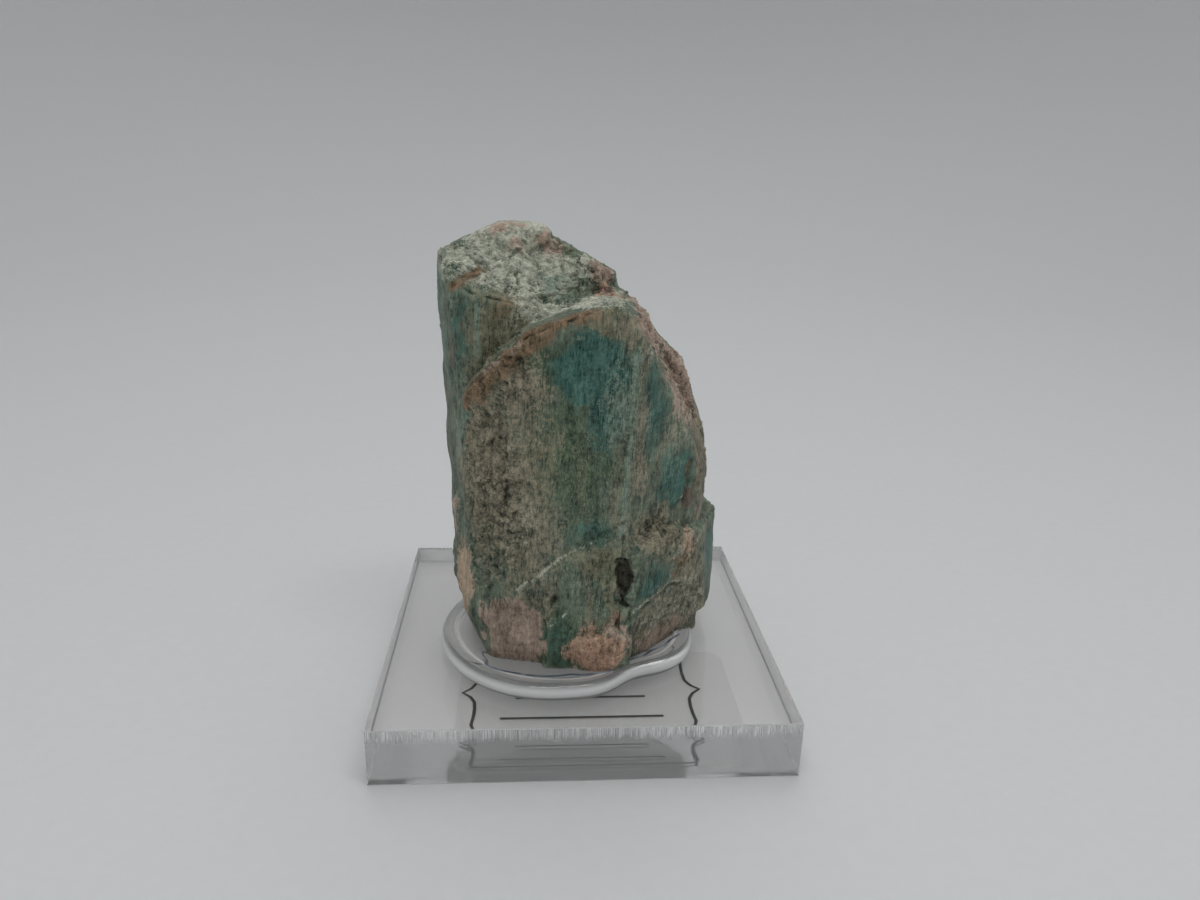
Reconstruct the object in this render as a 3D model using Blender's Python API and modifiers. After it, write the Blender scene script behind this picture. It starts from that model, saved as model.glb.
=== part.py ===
"""Rough amazonite crystal group stuck on a square block of clear acrylic.

One solid for the crystals, which grew together, one for the clear glue pad under
them, one for the acrylic block and one for the film label under the block.
Sizes are in millimetres, multiplied by MM; +Z is up and the front faces -Y.
The origin is the middle of the block's underside.
"""

import math

import bmesh
import bpy
from mathutils import Vector, noise

MM = 0.001

# Acrylic block, a standard 1 3/4 inch square cut from 1/4 inch sheet
BASE_SIDE = 44.45
BASE_THICK = 6.35
BASE_EDGE = 0.15

# Film label, which lies flush in a shallow relief of the block's underside
LABEL_LEFT = -13.7
LABEL_RIGHT = 17.0
LABEL_NEAR = -19.5
LABEL_FAR = -3.5
LABEL_CORNER = 2.0
LABEL_CORNER_STEPS = 6
LABEL_THICK = 0.15
LABEL_LIFT = 0.05
LABEL_GAP = 0.1
LABEL_SIDE_GAP = 0.3

# Glue pad, a flattened round drop with a thick rim and a shallow dish
TOUCH_GAP = 0.3
PAD_CENTRE = (-1.5, -4.0)
PAD_RADIUS = 14.5
PAD_STEPS = 64
PAD_FLOOR = 0.5
PAD_BOTTOM = BASE_THICK + TOUCH_GAP
# Profile from the middle of the dish over the rim and under to the middle of the
# bottom: the distance in from the rim and the height over the bottom
PAD_PROFILE = [
    (PAD_RADIUS, 1.45),
    (4.2, 1.45),
    (2.6, 1.80),
    (1.4, 2.00),
    (0.6, 1.80),
    (0.1, 1.30),
    (0.0, 0.80),
    (0.25, 0.30),
    (0.8, 0.0),
    (PAD_RADIUS, 0.0),
]

# Crystal group
FOOT = PAD_BOTTOM + PAD_FLOOR + TOUCH_GAP
ROOT_DEPTH = 2.0
ROOT_STEP = 0.37
BLANK = 160.0
VOXEL = 0.5
CRYSTAL_TRIANGLES = 7200
FOOT_CALM_TOP = 11.0

# Each block is a convex crystal or lump: its plan is a list of corners in X and Y,
# anticlockwise from above, and each cut is a point on a face and the way it faces.
FRONT_CRYSTAL = {
    "plan": [(-13.2, 3.0), (-13.2, -6.2), (-11.4, -9.7), (-8.0, -12.1), (-4.6, -12.95),
             (5.3, -13.3), (12.4, -7.7), (14.0, -3.5), (14.2, 3.0)],
    "top": 47.6,
    "cuts": [((2.0, -12.9, 46.9), (-0.09, -0.03, 1.0)),
             ((-11.2, -10.0, 39.3), (-0.70, 0.06, 0.70)),
             ((-5.6, -12.7, 44.7), (-0.39, 0.04, 0.92)),
             ((5.0, -6.0, 45.8), (0.58, -0.03, 0.81)),
             ((7.5, 0.0, 43.3), (0.88, -0.12, 0.456)),
             ((13.0, 0.0, 35.0), (0.912, -0.308, 0.27)),
             ((5.0, -13.3, 44.0), (0.62, -0.78, -0.045)),
             ((-10.9, -9.9, 8.5), (-0.90, -0.25, -0.35))],
}
REAR_CRYSTAL = {
    "plan": [(-16.7, 4.6), (-14.4, -4.3), (-11.4, -5.4), (3.0, -5.7), (3.8, -1.0), (3.8, 7.0),
             (0.5, 9.2), (-12.5, 9.2)],
    "top": 56.0,
    "cuts": [((-16.5, 4.0, 46.5), (-0.96, -0.25, -0.055)),
             ((-12.0, -4.7, 47.6), (0.208, -0.479, 0.853)),
             ((-12.9, 8.0, 52.1), (-0.42, 0.0, 0.91)),
             ((-1.8, 6.0, 51.3), (0.45, 0.0, 0.89)),
             ((-5.0, 9.0, 50.0), (0.0, 0.8, 0.6))],
}
RIDGE = {
    "plan": [(-11.8, 3.5), (-7.5, 2.6), (-3.9, 4.0), (-3.6, 8.6), (-11.5, 8.9)],
    "top": 53.7,
    "cuts": [((-12.4, 6.0, 52.3), (-0.42, 0.0, 0.91)),
             ((-7.0, 3.4, 52.4), (0.05, -0.75, 0.66)),
             ((-4.2, 6.0, 53.2), (0.7, 0.0, 0.7)),
             ((-7.0, 8.6, 52.6), (0.0, 0.7, 0.7))],
}
KNOB = {
    "plan": [(-0.3, -1.8), (2.4, -1.6), (3.4, 0.8), (3.2, 4.2), (-0.3, 4.4)],
    "top": 50.4,
    "cuts": [((1.2, -1.6, 49.6), (-0.1, -0.6, 0.8)),
             ((2.4, 1.0, 49.0), (0.62, 0.0, 0.78)),
             ((3.2, 1.0, 47.2), (0.95, -0.2, -0.25))],
}
RIGHT_BACK = {
    "plan": [(0.0, -3.4), (13.4, -2.2), (14.9, 1.6), (12.4, 7.2), (4.4, 8.8), (0.0, 8.4)],
    "top": 45.0,
    "cuts": [((8.9, 2.0, 41.4), (0.74, 0.0, 0.67)),
             ((12.9, 2.0, 34.8), (0.93, -0.05, 0.37)),
             ((6.0, 8.0, 38.5), (0.1, 0.72, 0.69)),
             ((14.8, 2.0, 24.0), (0.99, 0.1, 0.03))],
}
LOWER_RIGHT = {
    "plan": [(4.1, -14.1), (13.5, -7.3), (16.1, 0.4), (15.7, 5.0), (10.0, 6.8), (2.0, 0.0)],
    "top": 23.0,
    "cuts": [((15.3, -1.0, 21.4), (0.36, -0.1, 0.93)),
             ((10.3, -9.7, 16.4), (0.61, -0.75, -0.20)),
             ((16.2, 0.0, 9.4), (0.60, -0.42, -0.68)),
             ((9.0, -10.2, 22.5), (0.30, -0.55, 0.78))],
}
LEFT_FLANK = {
    "plan": [(-15.3, 5.4), (-14.9, -0.8), (-12.2, -8.6), (-8.0, -6.0), (-8.0, 6.0)],
    "top": 23.6,
    "cuts": [((-15.2, 0.0, 22.4), (-0.45, -0.2, 0.87)),
             ((-15.1, 2.0, 12.4), (-0.86, -0.2, -0.40)),
             ((-12.6, -6.0, 9.5), (-0.80, -0.4, -0.40))],
}
LOWER_PLATE = {
    "plan": [(-8.2, -11.0), (-7.4, -12.95), (4.2, -14.0), (4.6, -10.0)],
    "top": 25.0,
    "cuts": [((-1.0, -13.0, 21.0), (-0.537, 0.0, 0.843)),
             ((3.9, -13.0, 18.0), (0.99, 0.0, -0.13)),
             ((0.0, -13.5, 12.0), (0.1, -1.0, -0.06))],
}
FOOT_LUMP = {
    "plan": [(-1.0, -12.0), (-0.6, -13.7), (3.3, -14.6), (5.2, -13.2), (5.0, -11.0)],
    "top": 13.0,
    "cuts": [((1.0, -13.6, 11.8), (-0.35, -0.45, 0.82)),
             ((4.6, -13.0, 11.6), (0.60, -0.2, 0.77))],
}
BACK_SLAB = {
    "plan": [(-13.5, 4.0), (4.0, 4.0), (9.5, 6.0), (7.5, 9.6), (-4.0, 10.8), (-11.0, 10.2)],
    "top": 36.0,
    "cuts": [((-3.0, 10.5, 31.0), (-0.15, 0.55, 0.82)),
             ((-12.0, 8.0, 27.0), (-0.75, 0.3, 0.58)),
             ((7.0, 8.6, 24.0), (0.55, 0.5, 0.67)),
             ((-3.0, 10.3, 12.0), (0.0, 0.94, -0.34))],
}
CRYSTAL_BLOCKS = {
    "front_crystal": FRONT_CRYSTAL,
    "rear_crystal": REAR_CRYSTAL,
    "ridge": RIDGE,
    "knob": KNOB,
    "right_back": RIGHT_BACK,
    "lower_right": LOWER_RIGHT,
    "left_flank": LEFT_FLANK,
    "lower_plate": LOWER_PLATE,
    "foot_lump": FOOT_LUMP,
    "back_slab": BACK_SLAB,
}
BLOCKS_AT_THE_FOOT = ("front_crystal", "rear_crystal", "right_back", "lower_right", "left_flank",
                      "lower_plate", "foot_lump", "back_slab")

# Broken-off places: each is a convex block that is taken out of the group
PINK_FACET = {
    "plan": [(-13.5, -10.0), (-13.5, -17.0), (-4.5, -17.0), (-4.5, -12.2)],
    "bottom": 5.0,
    "top": 17.2,
    "cuts": [((-8.0, -11.65, 12.0), (0.28, 0.95, 0.10)),
             ((-9.8, -11.0, 15.2), (-0.50, 0.0, 0.86)),
             ((-6.2, -12.6, 15.8), (0.42, 0.0, 0.90))],
}
PIT = {
    "plan": [(3.1, -10.4), (2.8, -15.0), (5.6, -15.0), (4.9, -10.4)],
    "bottom": 14.6,
    "top": 21.2,
    "cuts": [((5.2, -13.0, 18.0), (0.95, 0.0, 0.30)),
             ((3.2, -13.0, 18.0), (-0.97, 0.0, -0.22))],
}
LEFT_NOTCH = {
    "plan": [(-18.0, 8.0), (-18.0, -8.0), (-13.8, -4.8), (-14.6, 2.0)],
    "bottom": 22.3,
    "top": 24.6,
    "cuts": [((-15.6, 0.0, 24.0), (0.35, 0.0, 0.94))],
}
RIGHT_NOTCH = {
    "plan": [(14.2, -1.5), (18.0, -5.0), (18.0, 7.0), (14.4, 3.5)],
    "bottom": 21.2,
    "top": 22.6,
    "cuts": [((15.2, 0.0, 22.4), (-0.5, 0.0, 0.87))],
}
FLAT_FOOT = {
    "plan": [(-40.0, -40.0), (40.0, -40.0), (40.0, 40.0), (-40.0, 40.0)],
    "bottom": -10.0,
    "top": FOOT,
    "cuts": [],
}
BROKEN_PLACES = {
    "flat_foot": FLAT_FOOT,
    "pink_facet": PINK_FACET,
    "pit": PIT,
    "left_notch": LEFT_NOTCH,
    "right_notch": RIGHT_NOTCH,
}

# Where the surface is rough: middle, reach and height of the grain in each area
ROUGH_AREAS = [
    ((-6.0, 2.0, 50.5), (13.0, 9.0, 5.0), 0.50),
    ((3.0, -9.0, 47.0), (6.0, 6.0, 1.6), 0.30),
    ((10.5, -4.0, 40.0), (4.5, 9.0, 7.0), 0.45),
    ((14.5, -1.0, 30.0), (3.0, 7.0, 9.0), 0.25),
    ((-11.0, -9.5, 26.0), (5.5, 4.5, 15.0), 0.32),
    ((2.0, -13.5, 10.5), (4.5, 2.5, 4.0), 0.35),
    ((0.0, 11.0, 25.0), (16.0, 5.0, 20.0), 0.40),
]
SMOOTH_GRAIN = 0.07
GRAIN_GAIN = 1.4
GRAIN_PER_MM = 0.42
GRAIN_FALL = 0.9
GRAIN_STEP = 2.1
GRAIN_OCTAVES = 3
RIB_ACROSS_PER_MM = 0.55
RIB_ALONG_PER_MM = 0.05
RIB_HEIGHT = 0.10

# Colours, as linear red, green and blue
AMAZONITE_COLOUR = (0.10, 0.23, 0.19)
CLEAR_COLOUR = (0.93, 0.95, 0.96)
PAD_COLOUR = (0.90, 0.91, 0.92)
LABEL_COLOUR = (0.88, 0.87, 0.84)


def clear_scene():
    """Remove the objects that a new file starts with."""
    for obj in list(bpy.data.objects):
        bpy.data.objects.remove(obj, do_unlink=True)


def make_collection(name):
    collection = bpy.data.collections.new(name)
    bpy.context.scene.collection.children.link(collection)
    return collection


def make_material(name, colour, roughness, transmission=0.0, ior=1.5):
    """A Principled material with no metal in it."""
    material = bpy.data.materials.new(name)
    material.use_nodes = True
    shader = material.node_tree.nodes["Principled BSDF"]
    shader.inputs["Base Color"].default_value = (*colour, 1.0)
    shader.inputs["Roughness"].default_value = roughness
    shader.inputs["Metallic"].default_value = 0.0
    shader.inputs["Transmission Weight"].default_value = transmission
    shader.inputs["IOR"].default_value = ior
    return material


def new_object(name, bm, collection):
    """Put an edit mesh in a new object, scaled from millimetres to metres."""
    bmesh.ops.scale(bm, vec=Vector((MM, MM, MM)), verts=bm.verts)
    mesh = bpy.data.meshes.new(name)
    bm.to_mesh(mesh)
    bm.free()
    obj = bpy.data.objects.new(name, mesh)
    collection.objects.link(obj)
    return obj


def block_faces(block, grow):
    """Points and outward directions of a block's walls, top, bottom and cuts."""
    faces = []
    plan = block["plan"]
    for index, start in enumerate(plan):
        end = plan[(index + 1) % len(plan)]
        outward = Vector((end[1] - start[1], start[0] - end[0], 0.0)).normalized()
        faces.append((Vector((*start, 0.0)), outward))
    faces.append((Vector((0.0, 0.0, block["top"])), Vector((0.0, 0.0, 1.0))))
    faces.append((Vector((0.0, 0.0, block["bottom"])), Vector((0.0, 0.0, -1.0))))
    for point, direction in block["cuts"]:
        faces.append((Vector(point), Vector(direction).normalized()))
    return [(point + outward * grow, outward) for point, outward in faces]


def convex_block(name, block, collection, grow=0.0):
    """A cube cut to a convex block by each of its faces in turn."""
    bm = bmesh.new()
    bmesh.ops.create_cube(bm, size=BLANK)
    for point, outward in block_faces(block, grow):
        geometry = bm.verts[:] + bm.edges[:] + bm.faces[:]
        cut = bmesh.ops.bisect_plane(bm, geom=geometry, plane_co=point, plane_no=outward, clear_outer=True)
        rim = [item for item in cut["geom_cut"] if isinstance(item, bmesh.types.BMEdge)]
        if rim:
            bmesh.ops.contextual_create(bm, geom=rim)
    bmesh.ops.recalc_face_normals(bm, faces=bm.faces)
    return new_object(name, bm, collection)


def as_guide(obj):
    """Mark a cutter or a block as construction only."""
    obj.hide_render = True
    obj.display_type = "WIRE"
    return obj


def add_boolean(obj, other, operation):
    modifier = obj.modifiers.new(other.name, "BOOLEAN")
    modifier.operation = operation
    modifier.solver = "EXACT"
    modifier.object = other


def baked(obj):
    """Replace an object's mesh by what its modifiers make of it."""
    depsgraph = bpy.context.evaluated_depsgraph_get()
    mesh = bpy.data.meshes.new_from_object(obj.evaluated_get(depsgraph))
    obj.modifiers.clear()
    obj.data = mesh
    return obj


def area_weight(point, centre, reach):
    """One in the middle of an area, falling smoothly to nothing at its edge."""
    squares = sum(((point[axis] - centre[axis]) / reach[axis]) ** 2 for axis in range(3))
    return max(0.0, 1.0 - squares) ** 0.5


def grain_height(point):
    """How far a surface point in millimetres stands out or back."""
    rough = SMOOTH_GRAIN
    for centre, reach, height in ROUGH_AREAS:
        rough = max(rough, height * area_weight(point, centre, reach))
    grain = noise.fractal(point * GRAIN_PER_MM, GRAIN_FALL, GRAIN_STEP, GRAIN_OCTAVES)
    stretched = Vector((point.x * RIB_ACROSS_PER_MM, point.y * RIB_ACROSS_PER_MM, point.z * RIB_ALONG_PER_MM))
    ribs = noise.noise(stretched)
    calm = min(1.0, max(0.0, (point.z - FOOT) / (FOOT_CALM_TOP - FOOT)))
    return calm * (rough * GRAIN_GAIN * grain + RIB_HEIGHT * ribs)


def roughen(obj):
    """Move each vertex along its normal by the grain of its area."""
    mesh = obj.data
    normals = [vertex.normal.copy() for vertex in mesh.vertices]
    for vertex, normal in zip(mesh.vertices, normals):
        vertex.co += normal * grain_height(vertex.co / MM) * MM
    mesh.update()


def joined_blocks(name, blocks, broken, collection, guides, grow=0.0):
    """Blocks in one solid less its broken places.

    Each block starts a little deeper than the one before, so that no two undersides lie
    in one plane, and the flat foot among the broken places trims them all.
    """
    solid = None
    for index, (block_name, block) in enumerate(blocks.items()):
        deep = dict(block, bottom=FOOT - ROOT_DEPTH - ROOT_STEP * index)
        if solid is None:
            solid = convex_block(name, deep, collection, grow)
        else:
            add_boolean(solid, as_guide(convex_block(name + "_" + block_name, deep, guides, grow)), "UNION")
    for place_name, place in broken.items():
        add_boolean(solid, as_guide(convex_block(name + "_" + place_name, place, guides, -grow)), "DIFFERENCE")
    return baked(solid)


def make_amazonite(parts, guides):
    """The crystal blocks in one solid, with its broken places and its rough skin."""
    stone = joined_blocks("amazonite", CRYSTAL_BLOCKS, BROKEN_PLACES, parts, guides)
    remesh = stone.modifiers.new("even_skin", "REMESH")
    remesh.mode = "VOXEL"
    remesh.voxel_size = VOXEL * MM
    baked(stone)
    roughen(stone)
    decimate = stone.modifiers.new("fewer_faces", "DECIMATE")
    triangles = sum(len(face.vertices) - 2 for face in stone.data.polygons)
    decimate.ratio = CRYSTAL_TRIANGLES / triangles
    decimate.use_collapse_triangulate = True
    baked(stone)
    stone.data.materials.append(make_material("amazonite_stone", AMAZONITE_COLOUR, 0.55))
    return stone


def make_foot_cutter(guides):
    """The blocks that reach the pad, grown by the gap, to sink the pad under them."""
    blocks = {name: CRYSTAL_BLOCKS[name] for name in BLOCKS_AT_THE_FOOT}
    return as_guide(joined_blocks("foot_cutter", blocks, {"flat_foot": FLAT_FOOT}, guides, guides, TOUCH_GAP))


def make_pad(parts, cutter):
    """A turned drop of glue with the foot of the crystals pressed into it."""
    bm = bmesh.new()
    points = [bm.verts.new((PAD_RADIUS - inset, 0.0, height)) for inset, height in PAD_PROFILE]
    for start, end in zip(points, points[1:]):
        bm.edges.new((start, end))
    pad = new_object("adhesive_pad", bm, parts)
    pad.location = (PAD_CENTRE[0] * MM, PAD_CENTRE[1] * MM, PAD_BOTTOM * MM)
    turn = pad.modifiers.new("turn", "SCREW")
    turn.steps = PAD_STEPS
    turn.render_steps = PAD_STEPS
    turn.use_merge_vertices = True
    turn.merge_threshold = 0.00001
    turn.use_smooth_shade = False
    add_boolean(pad, cutter, "DIFFERENCE")
    pad.data.materials.append(make_material("clear_glue", PAD_COLOUR, 0.1, 1.0, 1.47))
    return pad


def label_outline(name, margin, thick, bottom, collection):
    """A flat rounded rectangle of the label's outline, as a mesh object."""
    half_x = (LABEL_RIGHT - LABEL_LEFT) / 2 + margin
    half_y = (LABEL_FAR - LABEL_NEAR) / 2 + margin
    radius = LABEL_CORNER + margin
    curve = bpy.data.curves.new(name + "_outline", "CURVE")
    curve.dimensions = "2D"
    curve.fill_mode = "BOTH"
    curve.extrude = thick / 2 * MM
    spline = curve.splines.new("POLY")
    corners = [(half_x, half_y, 0), (-half_x, half_y, 90), (-half_x, -half_y, 180), (half_x, -half_y, 270)]
    outline = []
    for corner_x, corner_y, start in corners:
        middle_x = corner_x - math.copysign(radius, corner_x)
        middle_y = corner_y - math.copysign(radius, corner_y)
        for step in range(LABEL_CORNER_STEPS + 1):
            angle = math.radians(start + 90 * step / LABEL_CORNER_STEPS)
            outline.append((middle_x + radius * math.cos(angle), middle_y + radius * math.sin(angle)))
    spline.points.add(len(outline) - 1)
    for point, (x, y) in zip(spline.points, outline):
        point.co = (x * MM, y * MM, 0.0, 1.0)
    spline.use_cyclic_u = True
    shape = bpy.data.objects.new(name + "_curve", curve)
    collection.objects.link(shape)
    depsgraph = bpy.context.evaluated_depsgraph_get()
    mesh = bpy.data.meshes.new_from_object(shape.evaluated_get(depsgraph))
    bpy.data.objects.remove(shape, do_unlink=True)
    bm = bmesh.new()
    bm.from_mesh(mesh)
    bmesh.ops.remove_doubles(bm, verts=bm.verts, dist=0.000001)
    bmesh.ops.recalc_face_normals(bm, faces=bm.faces)
    bm.to_mesh(mesh)
    bm.free()
    obj = bpy.data.objects.new(name, mesh)
    centre = Vector(((LABEL_LEFT + LABEL_RIGHT) / 2, (LABEL_NEAR + LABEL_FAR) / 2, bottom + thick / 2))
    obj.location = centre * MM
    collection.objects.link(obj)
    return obj


def make_label(parts):
    """The film label under the block, with a bare face."""
    label = label_outline("label", 0.0, LABEL_THICK, LABEL_LIFT, parts)
    label.data.materials.append(make_material("label_film", LABEL_COLOUR, 0.4))
    return label


def make_base(parts, guides):
    """The acrylic block, its edges just broken, relieved below for the label."""
    relief_height = LABEL_LIFT + LABEL_THICK + LABEL_GAP
    relief = label_outline("label_relief", LABEL_SIDE_GAP, relief_height + 1.0, -1.0, guides)
    bm = bmesh.new()
    bmesh.ops.create_cube(bm, size=1.0)
    bmesh.ops.scale(bm, vec=Vector((BASE_SIDE, BASE_SIDE, BASE_THICK)), verts=bm.verts)
    bmesh.ops.translate(bm, vec=Vector((0.0, 0.0, BASE_THICK / 2)), verts=bm.verts)
    bmesh.ops.bevel(bm, geom=bm.edges[:], offset=BASE_EDGE, segments=1, affect="EDGES")
    base = new_object("acrylic_base", bm, parts)
    add_boolean(base, as_guide(relief), "DIFFERENCE")
    base.data.materials.append(make_material("clear_acrylic", CLEAR_COLOUR, 0.05, 1.0, 1.49))
    return base


def main():
    clear_scene()
    parts = make_collection("rough_amazonite")
    guides = make_collection("cutters")
    make_base(parts, guides)
    make_label(parts)
    make_amazonite(parts, guides)
    make_pad(parts, make_foot_cutter(guides))


main()
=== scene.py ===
"""Looks of a rough amazonite crystal group that stands on a clear acrylic block.

Sizes are in millimetres and become metres with MM where a mesh is made. The origin is the
middle of the block's underside, +Z is up and the front faces -Y.
"""

import itertools
import logging
import math
from collections.abc import Callable, Iterator
from contextlib import contextmanager
from dataclasses import dataclass, field
from enum import Enum, IntEnum

import bpy
import numpy as np
from mathutils import Matrix, Vector, noise


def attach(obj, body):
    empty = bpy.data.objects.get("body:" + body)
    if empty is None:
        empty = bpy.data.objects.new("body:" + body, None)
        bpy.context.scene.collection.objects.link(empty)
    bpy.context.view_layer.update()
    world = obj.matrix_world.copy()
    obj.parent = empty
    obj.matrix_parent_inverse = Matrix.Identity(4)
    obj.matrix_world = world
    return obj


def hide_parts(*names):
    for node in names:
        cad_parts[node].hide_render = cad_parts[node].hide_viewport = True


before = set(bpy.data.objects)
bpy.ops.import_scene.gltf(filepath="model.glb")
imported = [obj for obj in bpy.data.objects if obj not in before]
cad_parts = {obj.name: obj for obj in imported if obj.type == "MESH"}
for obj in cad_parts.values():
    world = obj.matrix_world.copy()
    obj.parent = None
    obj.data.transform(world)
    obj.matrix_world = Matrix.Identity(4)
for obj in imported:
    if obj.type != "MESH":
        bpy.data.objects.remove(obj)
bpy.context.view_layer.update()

LOG = logging.getLogger("amazonite")
MM = 0.001
Point = tuple[float, float, float]
Pair = tuple[float, float]
Object = bpy.types.Object
Material = bpy.types.Material
Socket = bpy.types.NodeSocket

# The cube that blocks are cut from, and how near two cuts' corners become one
BLANK = 160.0
CUT_MERGE = 1e-7
# What the noises are made with
HASH_FACTORS = (374761393, 668265263, 1440662683, 1274126177, 1103515245, 843314857)
WAVE_GAIN = 1.7
LAYER_STEP = 2.03
CHIP_LEAN = 1.4
CHIP_STEP = 1.2


class Tone(Enum):
    """Characters of the stone's surface; each is painted as one attribute of its mesh."""

    DEEP = "deep"
    GREEN = "green"
    CRUST = "crust"
    PINK = "pink"
    PALE = "pale"
    RUST = "rust"
    AMBER = "amber"
    # Paler, milkier stretches, and painted sheen where the faces shine
    MILKY_AND_SHEEN = "milky_and_sheen"
    BROWN = "brown"
    DARK = "dark"
    OLIVE = "olive"
    STREAK = "streak"
    # Painted light: a shade lighter where the light falls more
    LIGHT = "light"
    GRAIN = "grain"
    # Edge wear and painted highlight: lighter on convex bumps
    WEAR = "wear"
    # Painted shade: darker in the hollows of the surface
    HOLLOW_SHADE = "hollow_shade"


class Salt(IntEnum):
    """Where each noise of the stone starts, far enough apart that no two share a layer."""

    BEND = 100
    WIDE_CHIP = 200
    CHIP = 220
    CRUMB = 240
    GRAIN = 260
    RIB = 280
    STEP = 300
    WEAR = 320
    PAINT = 400
    FINE_PAINT = 420
    GROOVE = 440


@dataclass(frozen=True)
class Patch:
    """An area of a tone, strongest in its middle and gone at its reach.

    Where it has a facing, it keeps to the faces that look about that way.
    """

    centre: Point
    reach: Point
    strength: float = 1.0
    soft: float = 0.8
    facing: Point | None = None


@dataclass(frozen=True)
class Vein:
    """A line of one tone along the surface, such as a healed crack."""

    tone: Tone
    points: tuple[Point, ...]
    width: float
    strength: float = 1.0


@dataclass(frozen=True)
class Groove:
    """A crack or step line cut into the surface."""

    points: tuple[Point, ...]
    width: float
    depth: float


@dataclass(frozen=True)
class Dent:
    """A hollow in the surface, or a lump where its depth is negative."""

    centre: Point
    reach: Point
    depth: float


@dataclass(frozen=True)
class Block:
    """A convex crystal or broken place: a plan seen from above, and planes that cut it.

    The plan's corners run anticlockwise. Each cut is a point on a face and the way the face
    looks.
    """

    plan: tuple[Pair, ...]
    top: float
    cuts: tuple[tuple[Point, Point], ...] = ()
    bottom: float = 4.0

    def faces(self) -> list[tuple[Vector, Vector]]:
        """Points on the block's faces and the ways that they look.

        Returns:
            One pair for each wall, the top, the bottom and each cut.
        """
        found = []
        for index, start in enumerate(self.plan):
            end = self.plan[(index + 1) % len(self.plan)]
            outward = Vector((end[1] - start[1], start[0] - end[0], 0.0)).normalized()
            found.append((Vector((*start, 0.0)), outward))
        found.append((Vector((0.0, 0.0, self.top)), Vector((0.0, 0.0, 1.0))))
        found.append((Vector((0.0, 0.0, self.bottom)), Vector((0.0, 0.0, -1.0))))
        found.extend((Vector(point), Vector(way).normalized()) for point, way in self.cuts)
        return found

    def build(self, name: str) -> Object:
        """Cut a large cube down to the block.

        Args:
            name: The new object's name.

        Returns:
            The block as a mesh object.
        """
        obj = added(name, bpy.ops.mesh.primitive_cube_add, size=BLANK * MM)
        with editing():
            for point, outward in self.faces():
                bpy.ops.mesh.select_all(action="SELECT")
                bpy.ops.mesh.bisect(plane_co=point * MM, plane_no=outward, use_fill=True, clear_outer=True,
                                    threshold=CUT_MERGE)
            face_outward()
        return obj


def deselect_all() -> None:
    """Leave object mode with nothing selected and nothing active."""
    if bpy.context.object is not None and bpy.context.object.mode != "OBJECT":
        bpy.ops.object.mode_set(mode="OBJECT")
    bpy.ops.object.select_all(action="DESELECT")
    bpy.context.view_layer.objects.active = None


def select_only(obj: Object) -> None:
    """Select one object and make it the active one.

    Args:
        obj: The object.
    """
    deselect_all()
    obj.select_set(True)
    bpy.context.view_layer.objects.active = obj


def added(name: str, add: Callable, **settings: object) -> Object:
    """Add a mesh primitive under a name.

    Args:
        name: The new object's name.
        add: The operator that adds the primitive.
        settings: The operator's settings.

    Returns:
        The new object, selected and active.
    """
    deselect_all()
    add(**settings)
    bpy.context.object.name = name
    return bpy.context.object


@contextmanager
def editing() -> Iterator[None]:
    """Edit the active mesh, with all of it selected at the start.

    Returns:
        A context that ends in object mode.
    """
    bpy.ops.object.mode_set(mode="EDIT")
    bpy.ops.mesh.select_all(action="SELECT")
    yield
    bpy.ops.object.mode_set(mode="OBJECT")


def face_outward() -> None:
    """Turn all faces of the mesh in edit mode outwards."""
    bpy.ops.mesh.select_all(action="SELECT")
    bpy.ops.mesh.normals_make_consistent(inside=False)


def raise_rings(section: list[Pair], extrude: Callable) -> None:
    """Raise the selected ring along a section, wider or narrower from step to step.

    Args:
        section: Pairs of a radius and a height in millimetres, in order.
        extrude: The operator that extrudes the ring.
    """
    for (radius, height), (next_radius, next_height) in zip(section, section[1:]):
        extrude(TRANSFORM_OT_translate={"value": (0.0, 0.0, (next_height - height) * MM)})
        ratio = next_radius / radius
        bpy.ops.transform.resize(value=(ratio, ratio, 1.0), center_override=(0.0, 0.0, next_height * MM))


def new_tube(name: str, width: float, resolution: int) -> bpy.types.Curve:
    """Start a round tube with closed ends.

    Args:
        name: The curve's name.
        width: How wide the tube is, in millimetres.
        resolution: How finely its roundness is divided.

    Returns:
        The curve, still without lines.
    """
    curve = bpy.data.curves.new(name, "CURVE")
    curve.dimensions = "3D"
    curve.bevel_depth = width / 2 * MM
    curve.bevel_resolution = resolution
    curve.use_fill_caps = True
    return curve


def as_mesh(curve: bpy.types.Curve) -> Object:
    """Put a curve in the scene as a mesh.

    Args:
        curve: The curve, whose name the object takes.

    Returns:
        The mesh object, selected and active.
    """
    obj = bpy.data.objects.new(curve.name, curve)
    bpy.context.scene.collection.objects.link(obj)
    select_only(obj)
    bpy.ops.object.convert(target="MESH")
    return bpy.context.object


def apply_modifiers(obj: Object) -> None:
    """Apply all of an object's modifiers in their order.

    Args:
        obj: The object whose stack is applied.
    """
    select_only(obj)
    for modifier in list(obj.modifiers):
        bpy.ops.object.modifier_apply(modifier=modifier.name)


def combine(obj: Object, other: Object, operation: str) -> None:
    """Join another solid to an object or take it away, and delete the other.

    Args:
        obj: The solid that is changed.
        other: The solid that is joined or taken away.
        operation: UNION or DIFFERENCE.
    """
    modifier = obj.modifiers.new(other.name, "BOOLEAN")
    modifier.operation = operation
    modifier.solver = "EXACT"
    modifier.object = other
    apply_modifiers(obj)
    bpy.data.objects.remove(other, do_unlink=True)


def smoothstep(values: np.ndarray, start: float = 0.0, width: float = 1.0) -> np.ndarray:
    """A soft climb from 0 to 1.

    Args:
        values: Numbers of any size.
        start: The number up to which the result is 0.
        width: How far above the start the result is 1.

    Returns:
        Numbers from 0 to 1.
    """
    clamped = np.clip((values - start) / width, 0.0, 1.0)
    return clamped * clamped * (3.0 - 2.0 * clamped)


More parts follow.
